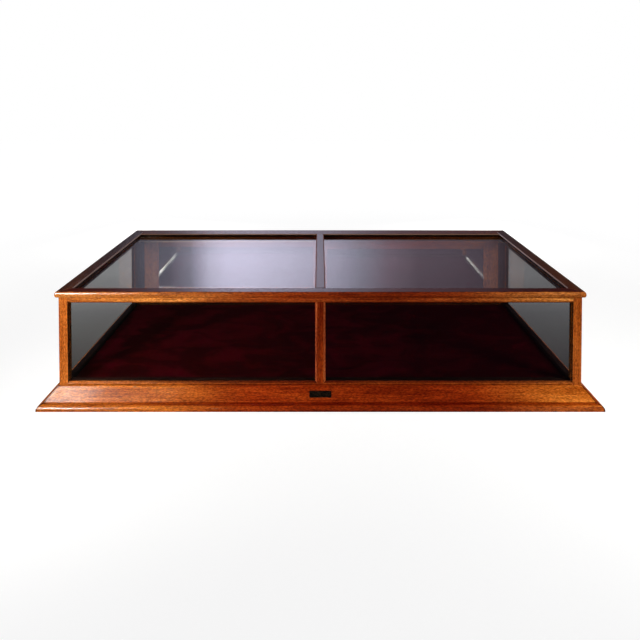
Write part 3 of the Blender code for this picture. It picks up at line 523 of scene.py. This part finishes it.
# Sill and head: mahogany boards tenoned between the rear posts, which carry the two tracks of the doors.
# Beech slips are let into both, waxed so that the doors run on them.
# A stop strip on each jamb ends the run.
BEECH = {
    "tones": ((0.360, 0.190, 0.085), (0.480, 0.285, 0.140), (0.560, 0.360, 0.195)),
    "pore_tone": (0.270, 0.125, 0.050),
    "streak": (0.0055, 0.160),
    "pore": (0.0012, 0.0045, 0.55),
    "roughness": (0.30, 0.44),
    "gloss": 0.4,
    "polish": 0.12,
    "polish_roughness": 0.3,
}
SLIP_ARRIS = 0.0004
SILL_FIRST_CUT = (0.9, 0.0, 0.6)
SILL_NEXT_CUT = (0.53, 0.33, 0.0)
SLIP_FIRST_CUT = (0.0, 0.0, 0.1)
SLIP_NEXT_CUT = (0.7, 0.23, 0.0)
WAXED_EDGE_CUT = (0.2, 0.5, 0.1)


def beech(name, runs, shift):
    """Beech with short flecks, smooth and a little shiny from wax."""
    return timber(name, runs, shift, BEECH)


for number, (node, runs, inward) in enumerate(
    (
        ("door_sill", "X", (0, -1, 1)),
        ("door_head", "X", (0, -1, -1)),
        ("door_stop_left", "Z", (0, -1, 0)),
        ("door_stop_right", "Z", (0, -1, 0)),
    )
):
    shift = log_cut(number, SILL_FIRST_CUT, SILL_NEXT_CUT)
    # Painted shade: the faces that look into the case are painted nearly black.
    wood = light_and_shade_by_facing(mahogany(node + "_mahogany", runs, shift), inward, BLACK_PAINTED_SHADE)
    edge = light_and_shade_by_facing(rubbed_mahogany(node + "_arris", runs, shift), inward, BLACK_PAINTED_SHADE)
    eased(node, "case", CARCASS_ARRIS, wood, edge)

waxed_edge = beech("waxed_edge", "X", WAXED_EDGE_CUT)
for number, node in enumerate(("runner_inner", "runner_outer", "guide_inner", "guide_outer")):
    wood = beech(node + "_beech", "X", log_cut(number, SLIP_FIRST_CUT, SLIP_NEXT_CUT))
    eased(node, "case", SLIP_ARRIS, wood, waxed_edge)

# Velvet floor: a thin board cut to the inside of the case, with dark red silk velvet drawn over its face.
# The cloth is turned down round the board's edges and glued, and goods set on it have pressed its pile
# one way and the other, so that it shines in soft patches.
# Painted shade darkens its right part and a strip along each end, a painted lit strip runs just inside each
# end, and a painted shadow of the left front post crosses it on the left.
lining_low, lining_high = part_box("floor_lining")
LINING_X = lining_high.x
LINING_Y = (lining_high.y - lining_low.y) / 2
LINING_MIDDLE_Y = (lining_high.y + lining_low.y) / 2
VELVET_THICKNESS = 0.0011
VELVET_CLEARANCE = 0.0004
VELVET_FOLD = 0.0012
VELVET_TURN_DOWN = 0.0045
VELVET_RIPPLE = 0.0007
VELVET_LUMP = 0.07
VELVET_CELLS = (150, 66)
VELVET_CREASE = math.radians(60)
BOARD_INSET = 0.0016
BOARD_CUT = (2.3, 0.9, 0.5)
GLUE_LINE = 0.0001
BOARD_TOP = lining_high.z - VELVET_THICKNESS - VELVET_RIPPLE / 2 - GLUE_LINE
PILE_PATCHES = (0.090, 0.130)
PILE_STROKES = (0.016, 0.050)
PILE_TUFTS = (0.0010, 0.0010)
PILE_DEPTH = 0.0002
PILE_SHARES = (0.72, 0.28)
PILE_STOPS = (0.38, 0.52, 0.68)
PATCHED = (0.28, 0.72, 0.20, 0.80)
TUFT_SHADE = (0.35, 0.65, 0.55, 0.0)
RIGHT_PAINTED_SHADE = (0.08, 0.42, 0.0, 0.18)
ENDS_PAINTED_LIGHT = (0.485, 0.535, 0.0, 0.18)
SHADED_ENDS = (0.548, 0.574, 0.0, 0.30)
POST_PAINTED_SHADOW = (0.010, 0.040, 0.16, 0.0)
POST_SHADOW_LEAN = 0.378
POST_SHADOW_PLACE = 0.484
VELVET_ROUGHNESS = (0.35, 0.70, 0.92, 0.72)
VELVET_SHEEN = (0.62, 0.03, 0.08)
VELVET_DARK = (0.0082, 0.0001, 0.0004)
VELVET_RED = (0.0180, 0.0002, 0.0010)
VELVET_BRUSHED = (0.0310, 0.0003, 0.0028)


def velvet(name):
    """Short dense pile: dark when looked into, redder and shinier where it lies over, with painted shade,
    painted light and a painted shadow laid on its colour.
    """
    material, tree, shader, place = surface(name)
    patches = grain_noise(tree, place, *PILE_PATCHES, detail=3.0, swirl=1.2)
    patches = spread(tree, patches, *PATCHED)
    strokes = grain_noise(tree, place, *PILE_STROKES, detail=3.0, swirl=0.6)
    pile = grain_noise(tree, place, *PILE_TUFTS, detail=1.0)
    lie = reckon(tree, "MULTIPLY", patches, PILE_SHARES[0])
    lie = reckon(tree, "ADD", lie, reckon(tree, "MULTIPLY", strokes, PILE_SHARES[1]))
    sides = tree.nodes.new("ShaderNodeSeparateXYZ")
    tree.links.new(place, sides.inputs["Vector"])
    # Painted shade: the velvet darkens towards the right.
    right_shade = spread(tree, sides.outputs["X"], *RIGHT_PAINTED_SHADE)
    near_end = reckon(tree, "ABSOLUTE", sides.outputs["X"], 0.0)
    # Painted light: a brighter strip just inside each end, then painted shade at the very ends.
    lit_strip = spread(tree, near_end, *ENDS_PAINTED_LIGHT)
    shaded_end = spread(tree, near_end, *SHADED_ENDS)
    # Painted shadow: a dark diagonal band cast by the left front post.
    lean = reckon(tree, "MULTIPLY", sides.outputs["Y"], POST_SHADOW_LEAN)
    across = reckon(tree, "SUBTRACT", sides.outputs["X"], lean)
    from_post_shadow = reckon(tree, "ABSOLUTE", reckon(tree, "ADD", across, POST_SHADOW_PLACE), 0.0)
    post_shadow = spread(tree, from_post_shadow, *POST_PAINTED_SHADOW)
    lie = reckon(tree, "ADD", reckon(tree, "SUBTRACT", lie, right_shade), lit_strip)
    lie = reckon(tree, "SUBTRACT", reckon(tree, "SUBTRACT", lie, shaded_end), post_shadow)
    colour = toned(tree, lie, tuple(zip(PILE_STOPS, (VELVET_DARK, VELVET_RED, VELVET_BRUSHED))))
    shaded = tinted(tree, spread(tree, pile, *TUFT_SHADE), colour, VELVET_DARK)
    tree.links.new(shaded, shader.inputs["Base Color"])
    tree.links.new(spread(tree, lie, *VELVET_ROUGHNESS), shader.inputs["Roughness"])
    shader.inputs["Specular IOR Level"].default_value = 0.0
    shader.inputs["Sheen Weight"].default_value = 0.04
    shader.inputs["Sheen Roughness"].default_value = 0.35
    shader.inputs["Sheen Tint"].default_value = (*VELVET_SHEEN, 1.0)
    relief(tree, shader, pile, strength=0.25, depth=PILE_DEPTH)
    return material


bpy.ops.object.select_all(action="DESELECT")
bpy.ops.mesh.primitive_cube_add(size=1.0, location=(0.0, LINING_MIDDLE_Y, (BOARD_TOP + lining_low.z) / 2))
lining_board = bpy.context.active_object
lining_board.name = "lining_board"
lining_board.scale = (2 * (LINING_X - BOARD_INSET), 2 * (LINING_Y - BOARD_INSET), BOARD_TOP - lining_low.z)
bpy.ops.object.transform_apply(location=True, rotation=True, scale=True)
rounding = lining_board.modifiers.new("rounded_edge", "BEVEL")
rounding.width = VELVET_FOLD / 2
rounding.segments = 3
bpy.ops.object.modifier_apply(modifier=rounding.name)
bpy.ops.object.shade_smooth_by_angle(angle=ROUND_EDGE)
lining_board.data.materials.append(pine("lining_board_pine", "X", BOARD_CUT))
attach(lining_board, "case")
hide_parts("floor_lining")

bpy.ops.object.select_all(action="DESELECT")
bpy.ops.mesh.primitive_grid_add(
    x_subdivisions=VELVET_CELLS[0],
    y_subdivisions=VELVET_CELLS[1],
    size=1.0,
    location=(0.0, LINING_MIDDLE_Y, lining_high.z - VELVET_RIPPLE / 2),
)
velvet_cover = bpy.context.active_object
velvet_cover.name = "velvet_cover"
velvet_cover.scale = (2 * (LINING_X - VELVET_CLEARANCE), 2 * (LINING_Y - VELVET_CLEARANCE), 1.0)
bpy.ops.object.transform_apply(location=True, rotation=True, scale=True)
bpy.ops.object.mode_set(mode="EDIT")
bpy.ops.mesh.select_mode(type="EDGE")
bpy.ops.mesh.select_all(action="DESELECT")
bpy.ops.mesh.select_non_manifold()
bpy.ops.mesh.extrude_region_move(TRANSFORM_OT_translate={"value": (0.0, 0.0, -VELVET_TURN_DOWN)})
bpy.ops.mesh.select_all(action="SELECT")
bpy.ops.mesh.normals_make_consistent(inside=False)
bpy.ops.object.mode_set(mode="OBJECT")
fold = velvet_cover.modifiers.new("fold", "BEVEL")
fold.width = VELVET_FOLD
fold.segments = 4
fold.limit_method = "ANGLE"
fold.angle_limit = VELVET_CREASE
bpy.ops.object.modifier_apply(modifier=fold.name)
lumps = bpy.data.textures.new("velvet_lumps", "CLOUDS")
lumps.noise_scale = VELVET_LUMP
lumps.noise_depth = 2
drawn = velvet_cover.modifiers.new("drawn_over", "DISPLACE")
drawn.texture = lumps
drawn.texture_coords = "LOCAL"
drawn.direction = "Z"
drawn.strength = VELVET_RIPPLE
drawn.mid_level = 0.5
bpy.ops.object.modifier_apply(modifier=drawn.name)
weave = velvet_cover.modifiers.new("cloth_thickness", "SOLIDIFY")
weave.thickness = VELVET_THICKNESS
weave.offset = -1.0
bpy.ops.object.modifier_apply(modifier=weave.name)
bpy.ops.object.shade_smooth_by_angle(angle=VELVET_CREASE)
velvet_cover.data.materials.append(velvet("dark_red_velvet"))
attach(velvet_cover, "case")
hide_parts("floor_lining")

# Panes: old polished plate in the front and ends, a little wavy and faintly green, 4 mm thick.
# Each stands in the grooves of its posts and rails, put in before the top rails are glued down.
GLASS_TINT = (0.965, 0.985, 0.975)
GLASS_IOR = 1.5
GLASS_WAVES = (0.140, 0.190)
GLASS_WAVE_DEPTH = 0.0012


def plate_glass(name):
    """Clear plate that bends and mirrors light, and lets the lamps shine into the case."""
    material, tree, shader, place = surface(name)
    shader.inputs["Base Color"].default_value = (*GLASS_TINT, 1.0)
    shader.inputs["Transmission Weight"].default_value = 1.0
    shader.inputs["Roughness"].default_value = 0.0
    shader.inputs["IOR"].default_value = GLASS_IOR
    waves = grain_noise(tree, place, *GLASS_WAVES, detail=1.0)
    relief(tree, shader, waves, strength=0.06, depth=GLASS_WAVE_DEPTH)
    clear = tree.nodes.new("ShaderNodeBsdfTransparent")
    clear.inputs["Color"].default_value = (*GLASS_TINT, 1.0)
    lamp_ray = tree.nodes.new("ShaderNodeLightPath")
    either = tree.nodes.new("ShaderNodeMixShader")
    tree.links.new(lamp_ray.outputs["Is Shadow Ray"], either.inputs["Fac"])
    tree.links.new(shader.outputs["BSDF"], either.inputs[1])
    tree.links.new(clear.outputs["BSDF"], either.inputs[2])
    tree.links.new(either.outputs["Shader"], tree.nodes["Material Output"].inputs["Surface"])
    return material


def finish_with(node, material):
    """A solid whose shape is already right gets its finish."""
    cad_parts[node].material_slots[0].material = material


plate = plate_glass("plate_glass")
for node in ("glass_front_left", "glass_front_right", "glass_side_left", "glass_side_right"):
    finish_with(node, plate)

# Sliding doors: mahogany frames, tenoned at the corners and grooved above and below for the slips.
# Each holds a silvered mirror that faces the goods, a thin backing board and a mitred bead round it.
# They go into their tracks before the head is fixed, the right one in the inner track.
DOOR_PAINTED_SHADE = (0.440, 0.470, 0.560)
DOOR_ARRIS = 0.0006
BEAD_ARRIS = 0.0008
PULL_ARRIS = 0.0003
DOOR_NEXT_CUT = (0.47, 0.35, 0.19)
RIGHT_DOOR_CUT = (1.3, 0.0, 0.0)
PANEL_CUT = (0.4, 0.8, 0.3)
LEVEL_BEAD_CUT = (0.2, 0.6, 0.9)
UPRIGHT_BEAD_CUT = (0.7, 0.1, 0.4)
SILVER = (0.780, 0.790, 0.800)
FOXED = (0.085, 0.068, 0.055)
BRASS_BRIGHT = (0.640, 0.420, 0.150)
BRASS_BROWN = (0.170, 0.090, 0.030)
MIRROR_CLOUDS = (0.060, 0.080)
MIRROR_SPOTS = (0.0030, 0.0034)
MIRROR_GATHERED = (0.50, 0.72, 0.0, 0.06)
MIRROR_PRICKED = (0.72, 0.78, 0.0, 0.9)
MIRROR_ROUGHNESS = (0.40, 0.75, 0.015, 0.050)
BRASS_CLOUDS = (0.0070, 0.0070)
BRASS_SCRATCHES = (0.0003, 0.0060)
BRASS_SCRATCH_DEPTH = 0.00006
BRASS_TARNISH = (0.36, 0.66, 0.0, 0.85)
BRASS_ROUGHNESS = (0.3, 0.7, 0.20, 0.34)
TARNISH_ROUGHNESS = 0.22


def old_mirror(name):
    """Silvering that has clouded a little and is pricked with small brown spots."""
    material, tree, shader, place = surface(name)
    clouds = grain_noise(tree, place, *MIRROR_CLOUDS, detail=3.0, swirl=0.8)
    spots = grain_noise(tree, place, *MIRROR_SPOTS, detail=2.0)
    gathered = spread(tree, clouds, *MIRROR_GATHERED)
    pricked = spread(tree, reckon(tree, "ADD", spots, gathered), *MIRROR_PRICKED)
    tree.links.new(tinted(tree, pricked, SILVER, FOXED), shader.inputs["Base Color"])
    tree.links.new(spread(tree, clouds, *MIRROR_ROUGHNESS), shader.inputs["Roughness"])
    shader.inputs["Metallic"].default_value = 1.0
    return material


def aged_brass(name):
    """Brass with brown tarnish in clouds, rubbed bright where fingers reach it."""
    material, tree, shader, place = surface(name)
    clouds = grain_noise(tree, place, *BRASS_CLOUDS, detail=4.0, swirl=0.7)
    scratches = grain_noise(tree, place, *BRASS_SCRATCHES, detail=2.0)
    tarnish = spread(tree, clouds, *BRASS_TARNISH)
    tree.links.new(tinted(tree, tarnish, BRASS_BRIGHT, BRASS_BROWN), shader.inputs["Base Color"])
    dull = reckon(tree, "MULTIPLY", tarnish, TARNISH_ROUGHNESS)
    worn = reckon(tree, "ADD", dull, spread(tree, scratches, *BRASS_ROUGHNESS))
    tree.links.new(worn, shader.inputs["Roughness"])
    shader.inputs["Metallic"].default_value = 1.0
    relief(tree, shader, scratches, strength=0.25, depth=BRASS_SCRATCH_DEPTH)
    return material


mirror = old_mirror("old_mirror")
brass = aged_brass("aged_brass")
rubbed = {runs: rubbed_mahogany("rubbed_arris_" + runs.lower(), runs, ARRIS_CUT) for runs in "XZ"}
for side, door in enumerate(("left_door", "right_door")):
    shift = side * RIGHT_DOOR_CUT[0]
    for number, (piece, runs) in enumerate(
        (("outer_stile", "Z"), ("meeting_stile", "Z"), ("top_rail", "X"), ("bottom_rail", "X"))
    ):
        node = door + "_" + piece
        spot = log_cut(number, (shift, 0.1, shift), DOOR_NEXT_CUT)
        # Painted shade: the door frames' faces that look into the case are darkened.
        wood = light_and_shade_by_facing(mahogany(node + "_mahogany", runs, spot), FORWARD, DOOR_PAINTED_SHADE)
        edge = light_and_shade_by_facing(rubbed_mahogany(node + "_arris", runs, spot), FORWARD, DOOR_PAINTED_SHADE)
        eased(node, door, DOOR_ARRIS, wood, edge)
    finish_with(door + "_mirror", mirror)
    panel_cut = log_cut(side, PANEL_CUT, RIGHT_DOOR_CUT)
    finish_with(door + "_back_panel", pine(door + "_panel_pine", "X", panel_cut))
    node = door + "_bead_frame"
    level = mahogany(node + "_level", "X", log_cut(side, LEVEL_BEAD_CUT, RIGHT_DOOR_CUT))
    upright = mahogany(node + "_upright", "Z", log_cut(side, UPRIGHT_BEAD_CUT, RIGHT_DOOR_CUT))
    bead = eased(node, door, BEAD_ARRIS, level, rubbed["X"])
    bead.data.materials.append(upright)
    bead.data.materials.append(rubbed["Z"])
    low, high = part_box(node)
    for face in bead.data.polygons:
        from_end = min(face.center.x - low.x, high.x - face.center.x)
        from_edge = min(face.center.z - low.z, high.z - face.center.z)
        if from_end < from_edge:
            face.material_index += 2
    eased(door + "_pull", door, PULL_ARRIS, brass, brass)

# Top: a mitred mahogany frame with a rounded outer edge and a centre bar, rebated underneath for two panes.
# It is pinned and glued down on the rails. Its level faces carry painted shade, darker still towards the
# front rail's ends, and its inner faces are painted nearly black as shade, while the rounded edge stays red.
LEVEL_PAINTED_SHADE = (0.290, 0.240, 0.320)
FRONT_LEVEL_PAINTED_SHADE = (0.360, 0.120, 0.060)
BACK_LEVEL_PAINTED_SHADE = (0.620, 0.280, 0.240)
LEVEL_ENDS_PAINTED_SHADE = (0.620, 0.450, 0.300)
LEVEL_SHADE_ENDS_FROM = (0.15, 0.45)
ARRIS_PAINTED_REFLECTION = (0.500, 0.560, 0.800)
BEVEL_PAINTED_HIGHLIGHT = (0.340, 0.220, 0.185)
ENDS_BEVEL_PAINTED_HIGHLIGHT = (0.720, 0.520, 0.440)
BACK_BEVEL_PAINTED_HIGHLIGHT = (0.260, 0.145, 0.095)
LIP_FROM = 0.9
TOP_ARRIS = 0.0005
TOP_FIRST_CUT = (0.3, 0.0, 0.0)
TOP_NEXT_CUT = (0.83, 0.27, 0.41)
UPWARD = (0, 0, 1)
WAXED_MAHOGANY = {
    **MAHOGANY,
    "lit_end_tones": ((0.220, 0.046, 0.0065), (0.440, 0.130, 0.0210), (0.600, 0.215, 0.0450)),
    "polish_roughness": 0.15,
}

for number, (node, runs, inward, level_shade, bevel_highlight) in enumerate(
    (
        ("top_frame_front", "X", (0, 1, 0), FRONT_LEVEL_PAINTED_SHADE, BEVEL_PAINTED_HIGHLIGHT),
        ("top_frame_back", "X", (0, -1, 0), BACK_LEVEL_PAINTED_SHADE, BACK_BEVEL_PAINTED_HIGHLIGHT),
        ("top_frame_left", "Y", (1, 0, 0), LEVEL_PAINTED_SHADE, ENDS_BEVEL_PAINTED_HIGHLIGHT),
        ("top_frame_right", "Y", (-1, 0, 0), LEVEL_PAINTED_SHADE, ENDS_BEVEL_PAINTED_HIGHLIGHT),
        ("top_centre_bar", "Y", (0, -1, 0), LEVEL_PAINTED_SHADE, BEVEL_PAINTED_HIGHLIGHT),
    )
):
    shift = log_cut(number, TOP_FIRST_CUT, TOP_NEXT_CUT)
    bevel = (inward[0], inward[1], 1)
    # Painted shade on the level faces, darker still towards the front rail's ends, and nearly black on the
    # inner faces.
    wood = light_and_shade_by_facing(timber(node + "_mahogany", runs, shift, WAXED_MAHOGANY), UPWARD, level_shade, SQUARELY)
    if node == "top_frame_front":
        for end in (-1, 1):
            towards_end = [end * place for place in LEVEL_SHADE_ENDS_FROM]
            wood = light_and_shade_by_facing(wood, UPWARD, LEVEL_ENDS_PAINTED_SHADE, SQUARELY, x_ramp=towards_end)
    wood = light_and_shade_by_facing(wood, inward, BLACK_PAINTED_SHADE, SQUARELY)
    # Painted highlight: a pale streak mixed onto each inner bevel, paler on the end rails.
    wood = light_and_shade_by_facing(wood, bevel, bevel_highlight, CLOSELY, "MIX")
    # Painted reflection: a cool grey cast on the rubbed arris next to each inner bevel.
    edge = light_and_shade_by_facing(rubbed_mahogany(node + "_arris", runs, shift), bevel, ARRIS_PAINTED_REFLECTION)
    board = eased(node, "case", TOP_ARRIS, wood, edge)
    # Painted shade: the back rail's inner lip gets the near-black wood.
    if node == "top_frame_back":
        board.data.materials.append(timber(node + "_lip_shade_black", runs, shift, SHADE_BLACK_WOOD))
        for face in board.data.polygons:
            if face.normal.y < -LIP_FROM:
                face.material_index = 2

for node in ("glass_top_left", "glass_top_right"):
    finish_with(node, plate)

# Studio: a pale floor, a white ground, five soft boxes in front of the case and two low ones behind it.
# The polished wood and the panes mirror a dimmer floor and one softly lit part of the room behind.
BLACK = (0.0, 0.0, 0.0)
WHITE = (1.0, 1.0, 1.0)
FLOOR_SIZE = 14.0
FLOOR_TONE = 0.25
FLOOR_NEAR = 0.88
FLOOR_FAR = 0.975
FLOOR_FADE = (0.7, 2.2)
FLOOR_IN_GLASS = (
    (0.00, (0.010, 0.010, 0.010)),
    (0.20, (0.105, 0.102, 0.100)),
    (0.34, (0.165, 0.161, 0.160)),
    (0.42, (0.200, 0.195, 0.200)),
    (0.72, (0.500, 0.488, 0.502)),
    (1.00, (0.520, 0.508, 0.522)),
)
FLOOR_REACH = (-0.35, 1.15)
FLOOR_DIMMER = 0.68
FLOOR_DIMMER_SPAN = (-0.60, 0.60)
FLOOR_DIMMED = (0.004, 0.0, 0.016)
ROOM_TINT = (1.0, 0.965, 1.245)
ROOM_TINT_RIGHT = (1.10, 0.86, 1.10)
ROOM_RIGHT_FROM = 0.1
ROOM_GLOW = (
    (-0.400, 0.012),
    (-0.345, 0.03),
    (-0.315, 0.12),
    (-0.298, 0.20),
    (-0.280, 0.235),
    (-0.250, 0.27),
    (-0.216, 0.52),
    (-0.184, 1.25),
    (-0.154, 1.58),
    (-0.119, 1.55),
    (-0.054, 1.28),
    (0.028, 0.84),
    (0.069, 0.54),
    (0.117, 0.33),
    (0.166, 0.21),
    (0.220, 0.18),
    (0.285, 0.14),
    (0.315, 0.06),
    (0.360, 0.02),
    (0.400, 0.012),
)
ROOM_SPAN = (-0.400, 0.400)
ROOM_RISES = (0.10, 0.36)
ROOM_ENDS = (0.80, 1.40)
ROOM_STRENGTH = 1.3
ROOM_DUSK = (0.015, 0.0145, 0.016)
ROOM_LOW = (0.140, 0.138, 0.142)
ROOM_LOW_SPAN = (0.05, 0.20)
ROOM_SOFT = (0.09, 0.09, 0.095)
LEAST_DEPTH = 0.02


def ray_kind(tree, name):
    """Whether a ray is of the named kind."""
    node = tree.nodes.new("ShaderNodeLightPath")
    return node.outputs[name]


bpy.ops.object.select_all(action="DESELECT")
bpy.ops.mesh.primitive_plane_add(size=FLOOR_SIZE, location=(0.0, 0.0, 0.0))
floor = bpy.context.active_object
floor.name = "studio_floor"
paper = bpy.data.materials.new("pale_paper")
paper.use_nodes = True
sheet = paper.node_tree
sheet.nodes.remove(sheet.nodes["Principled BSDF"])
spot = sheet.nodes.new("ShaderNodeTexCoord")
away = sheet.nodes.new("ShaderNodeVectorMath")
away.operation = "LENGTH"
sheet.links.new(spot.outputs["Object"], away.inputs[0])
spot_parts = sheet.nodes.new("ShaderNodeSeparateXYZ")
sheet.links.new(spot.outputs["Object"], spot_parts.inputs["Vector"])
in_glass = reckon(sheet, "MAXIMUM", ray_kind(sheet, "Is Glossy Ray"), ray_kind(sheet, "Is Transmission Ray"))
matt = sheet.nodes.new("ShaderNodeBsdfDiffuse")
sheet.links.new(tinted(sheet, in_glass, (FLOOR_TONE,) * 3, BLACK), matt.inputs["Color"])
far_off = spread(sheet, away.outputs["Value"], *FLOOR_FADE, 0.0, 1.0)
white = tinted(sheet, far_off, (FLOOR_NEAR,) * 3, (FLOOR_FAR,) * 3)
backwards = sheet.nodes.new("ShaderNodeMapRange")
backwards.inputs["From Min"].default_value = FLOOR_REACH[0]
backwards.inputs["From Max"].default_value = FLOOR_REACH[1]
sheet.links.new(spot_parts.outputs["Y"], backwards.inputs["Value"])
dimmer = spread(sheet, spot_parts.outputs["X"], *FLOOR_DIMMER_SPAN, 0.0, 1.0 - FLOOR_DIMMER)
grey = tinted(sheet, dimmer, toned(sheet, backwards.outputs["Result"], FLOOR_IN_GLASS), FLOOR_DIMMED)
glow = sheet.nodes.new("ShaderNodeEmission")
seen = tinted(sheet, ray_kind(sheet, "Is Camera Ray"), BLACK, white)
sheet.links.new(tinted(sheet, in_glass, seen, grey), glow.inputs["Color"])
both = sheet.nodes.new("ShaderNodeAddShader")
sheet.links.new(matt.outputs["BSDF"], both.inputs[0])
sheet.links.new(glow.outputs["Emission"], both.inputs[1])
sheet.links.new(both.outputs["Shader"], sheet.nodes["Material Output"].inputs["Surface"])
floor.data.materials.append(paper)

room = bpy.data.worlds.new("studio_room")
bpy.context.scene.world = room
room.use_nodes = True
walls = room.node_tree
way = walls.nodes.new("ShaderNodeTexCoord")
parts = walls.nodes.new("ShaderNodeSeparateXYZ")
walls.links.new(way.outputs["Generated"], parts.inputs["Vector"])
behind = reckon(walls, "MAXIMUM", parts.outputs["Y"], LEAST_DEPTH)
sideways = reckon(walls, "DIVIDE", parts.outputs["X"], behind)
upwards = reckon(walls, "DIVIDE", parts.outputs["Z"], behind)
across = walls.nodes.new("ShaderNodeMapRange")
across.inputs["From Min"].default_value = ROOM_SPAN[0]
across.inputs["From Max"].default_value = ROOM_SPAN[1]
walls.links.new(sideways, across.inputs["Value"])
room_tones = []
for sideways_at, amount in ROOM_GLOW:
    along_wall = (sideways_at - ROOM_SPAN[0]) / (ROOM_SPAN[1] - ROOM_SPAN[0])
    tint = ROOM_TINT_RIGHT if sideways_at > ROOM_RIGHT_FROM else ROOM_TINT
    room_tones.append((along_wall, tuple(amount * part for part in tint)))
lit = toned(walls, across.outputs["Result"], room_tones)
rising = spread(walls, upwards, *ROOM_RISES, 0.0, ROOM_STRENGTH)
height = reckon(walls, "MULTIPLY", rising, spread(walls, upwards, *ROOM_ENDS, 1.0, 0.0))
low_down = spread(walls, parts.outputs["Z"], *ROOM_LOW_SPAN, 1.0, 0.0)
dusk = tinted(walls, low_down, ROOM_DUSK, ROOM_LOW)
mirror_room = tinted(walls, height, dusk, lit)
soft_room = tinted(walls, ray_kind(walls, "Is Diffuse Ray"), mirror_room, ROOM_SOFT)
ground = walls.nodes["Background"]
white_ground = tinted(walls, ray_kind(walls, "Is Camera Ray"), soft_room, WHITE)
walls.links.new(white_ground, ground.inputs["Color"])

LAMP_TONE = (1.0, 0.96, 0.90)
SOFT_BOXES = (
    ("soft_box_left", (-0.98, -1.22, 0.47), (-0.39, -0.29, 0.18), 0.20, 60, 2.05, True),
    ("soft_box_right", (1.30, -0.95, 0.60), (0.60, -0.30, 0.04), 0.30, 70, 2.5, False),
    ("soft_box_low_left", (-0.87, -1.22, 0.37), (-0.59, 0.10, 0.05), 0.22, 12, 0.035, True),
    ("soft_box_low_right", (0.87, -1.22, 0.37), (0.59, 0.10, 0.05), 0.22, 12, 0.035, True),
    ("soft_box_high_left", (-1.05, -0.98, 0.92), (-0.55, -0.30, 0.03), 0.24, 36, 0.15, True),
    ("soft_box_behind_left", (-0.95, 1.70, 0.13), (-0.35, 0.31, 0.12), 0.22, 120, 6.0, True),
    ("soft_box_behind_right", (0.95, 1.70, 0.13), (0.35, 0.31, 0.12), 0.22, 120, 6.0, True),
)


def soft_box(name, place, aim, size, opening, power, mirrored):
    """A square soft box that faces a point on the case, with a grid that narrows its beam to an angle."""
    bpy.ops.object.light_add(type="AREA", location=place)
    lamp = bpy.context.active_object
    lamp.name = name
    lamp.data.shape = "SQUARE"
    lamp.data.size = size
    lamp.data.spread = math.radians(opening)
    lamp.data.energy = power
    lamp.data.color = LAMP_TONE
    lamp.visible_glossy = mirrored
    lamp.visible_transmission = mirrored
    towards = [to - at for to, at in zip(aim, place)]
    flat = math.hypot(towards[0], towards[1])
    lamp.rotation_euler = (math.atan2(flat, -towards[2]), 0.0, math.atan2(-towards[0], towards[1]))


for place_and_light in SOFT_BOXES:
    soft_box(*place_and_light)

# Camera: at the photograph's place in front of the case and above it, looking slightly down.
# The case stands low in the frame, so the lens is shifted and not tilted further.
CAMERA_PLACE = (-0.0021, -1.6556, 0.7157)
CAMERA_TILT = math.radians(88.5)
CAMERA_SENSOR = 36.0
CAMERA_LENS = 33.89
CAMERA_SHIFT = (0.0009, -0.3314)

bpy.ops.object.camera_add(location=CAMERA_PLACE, rotation=(CAMERA_TILT, 0.0, 0.0))
camera = bpy.context.active_object
camera.data.sensor_width = CAMERA_SENSOR
camera.data.lens = CAMERA_LENS
camera.data.shift_x = CAMERA_SHIFT[0]
camera.data.shift_y = CAMERA_SHIFT[1]
bpy.context.scene.camera = camera
bpy.context.scene.view_settings.view_transform = "Standard"
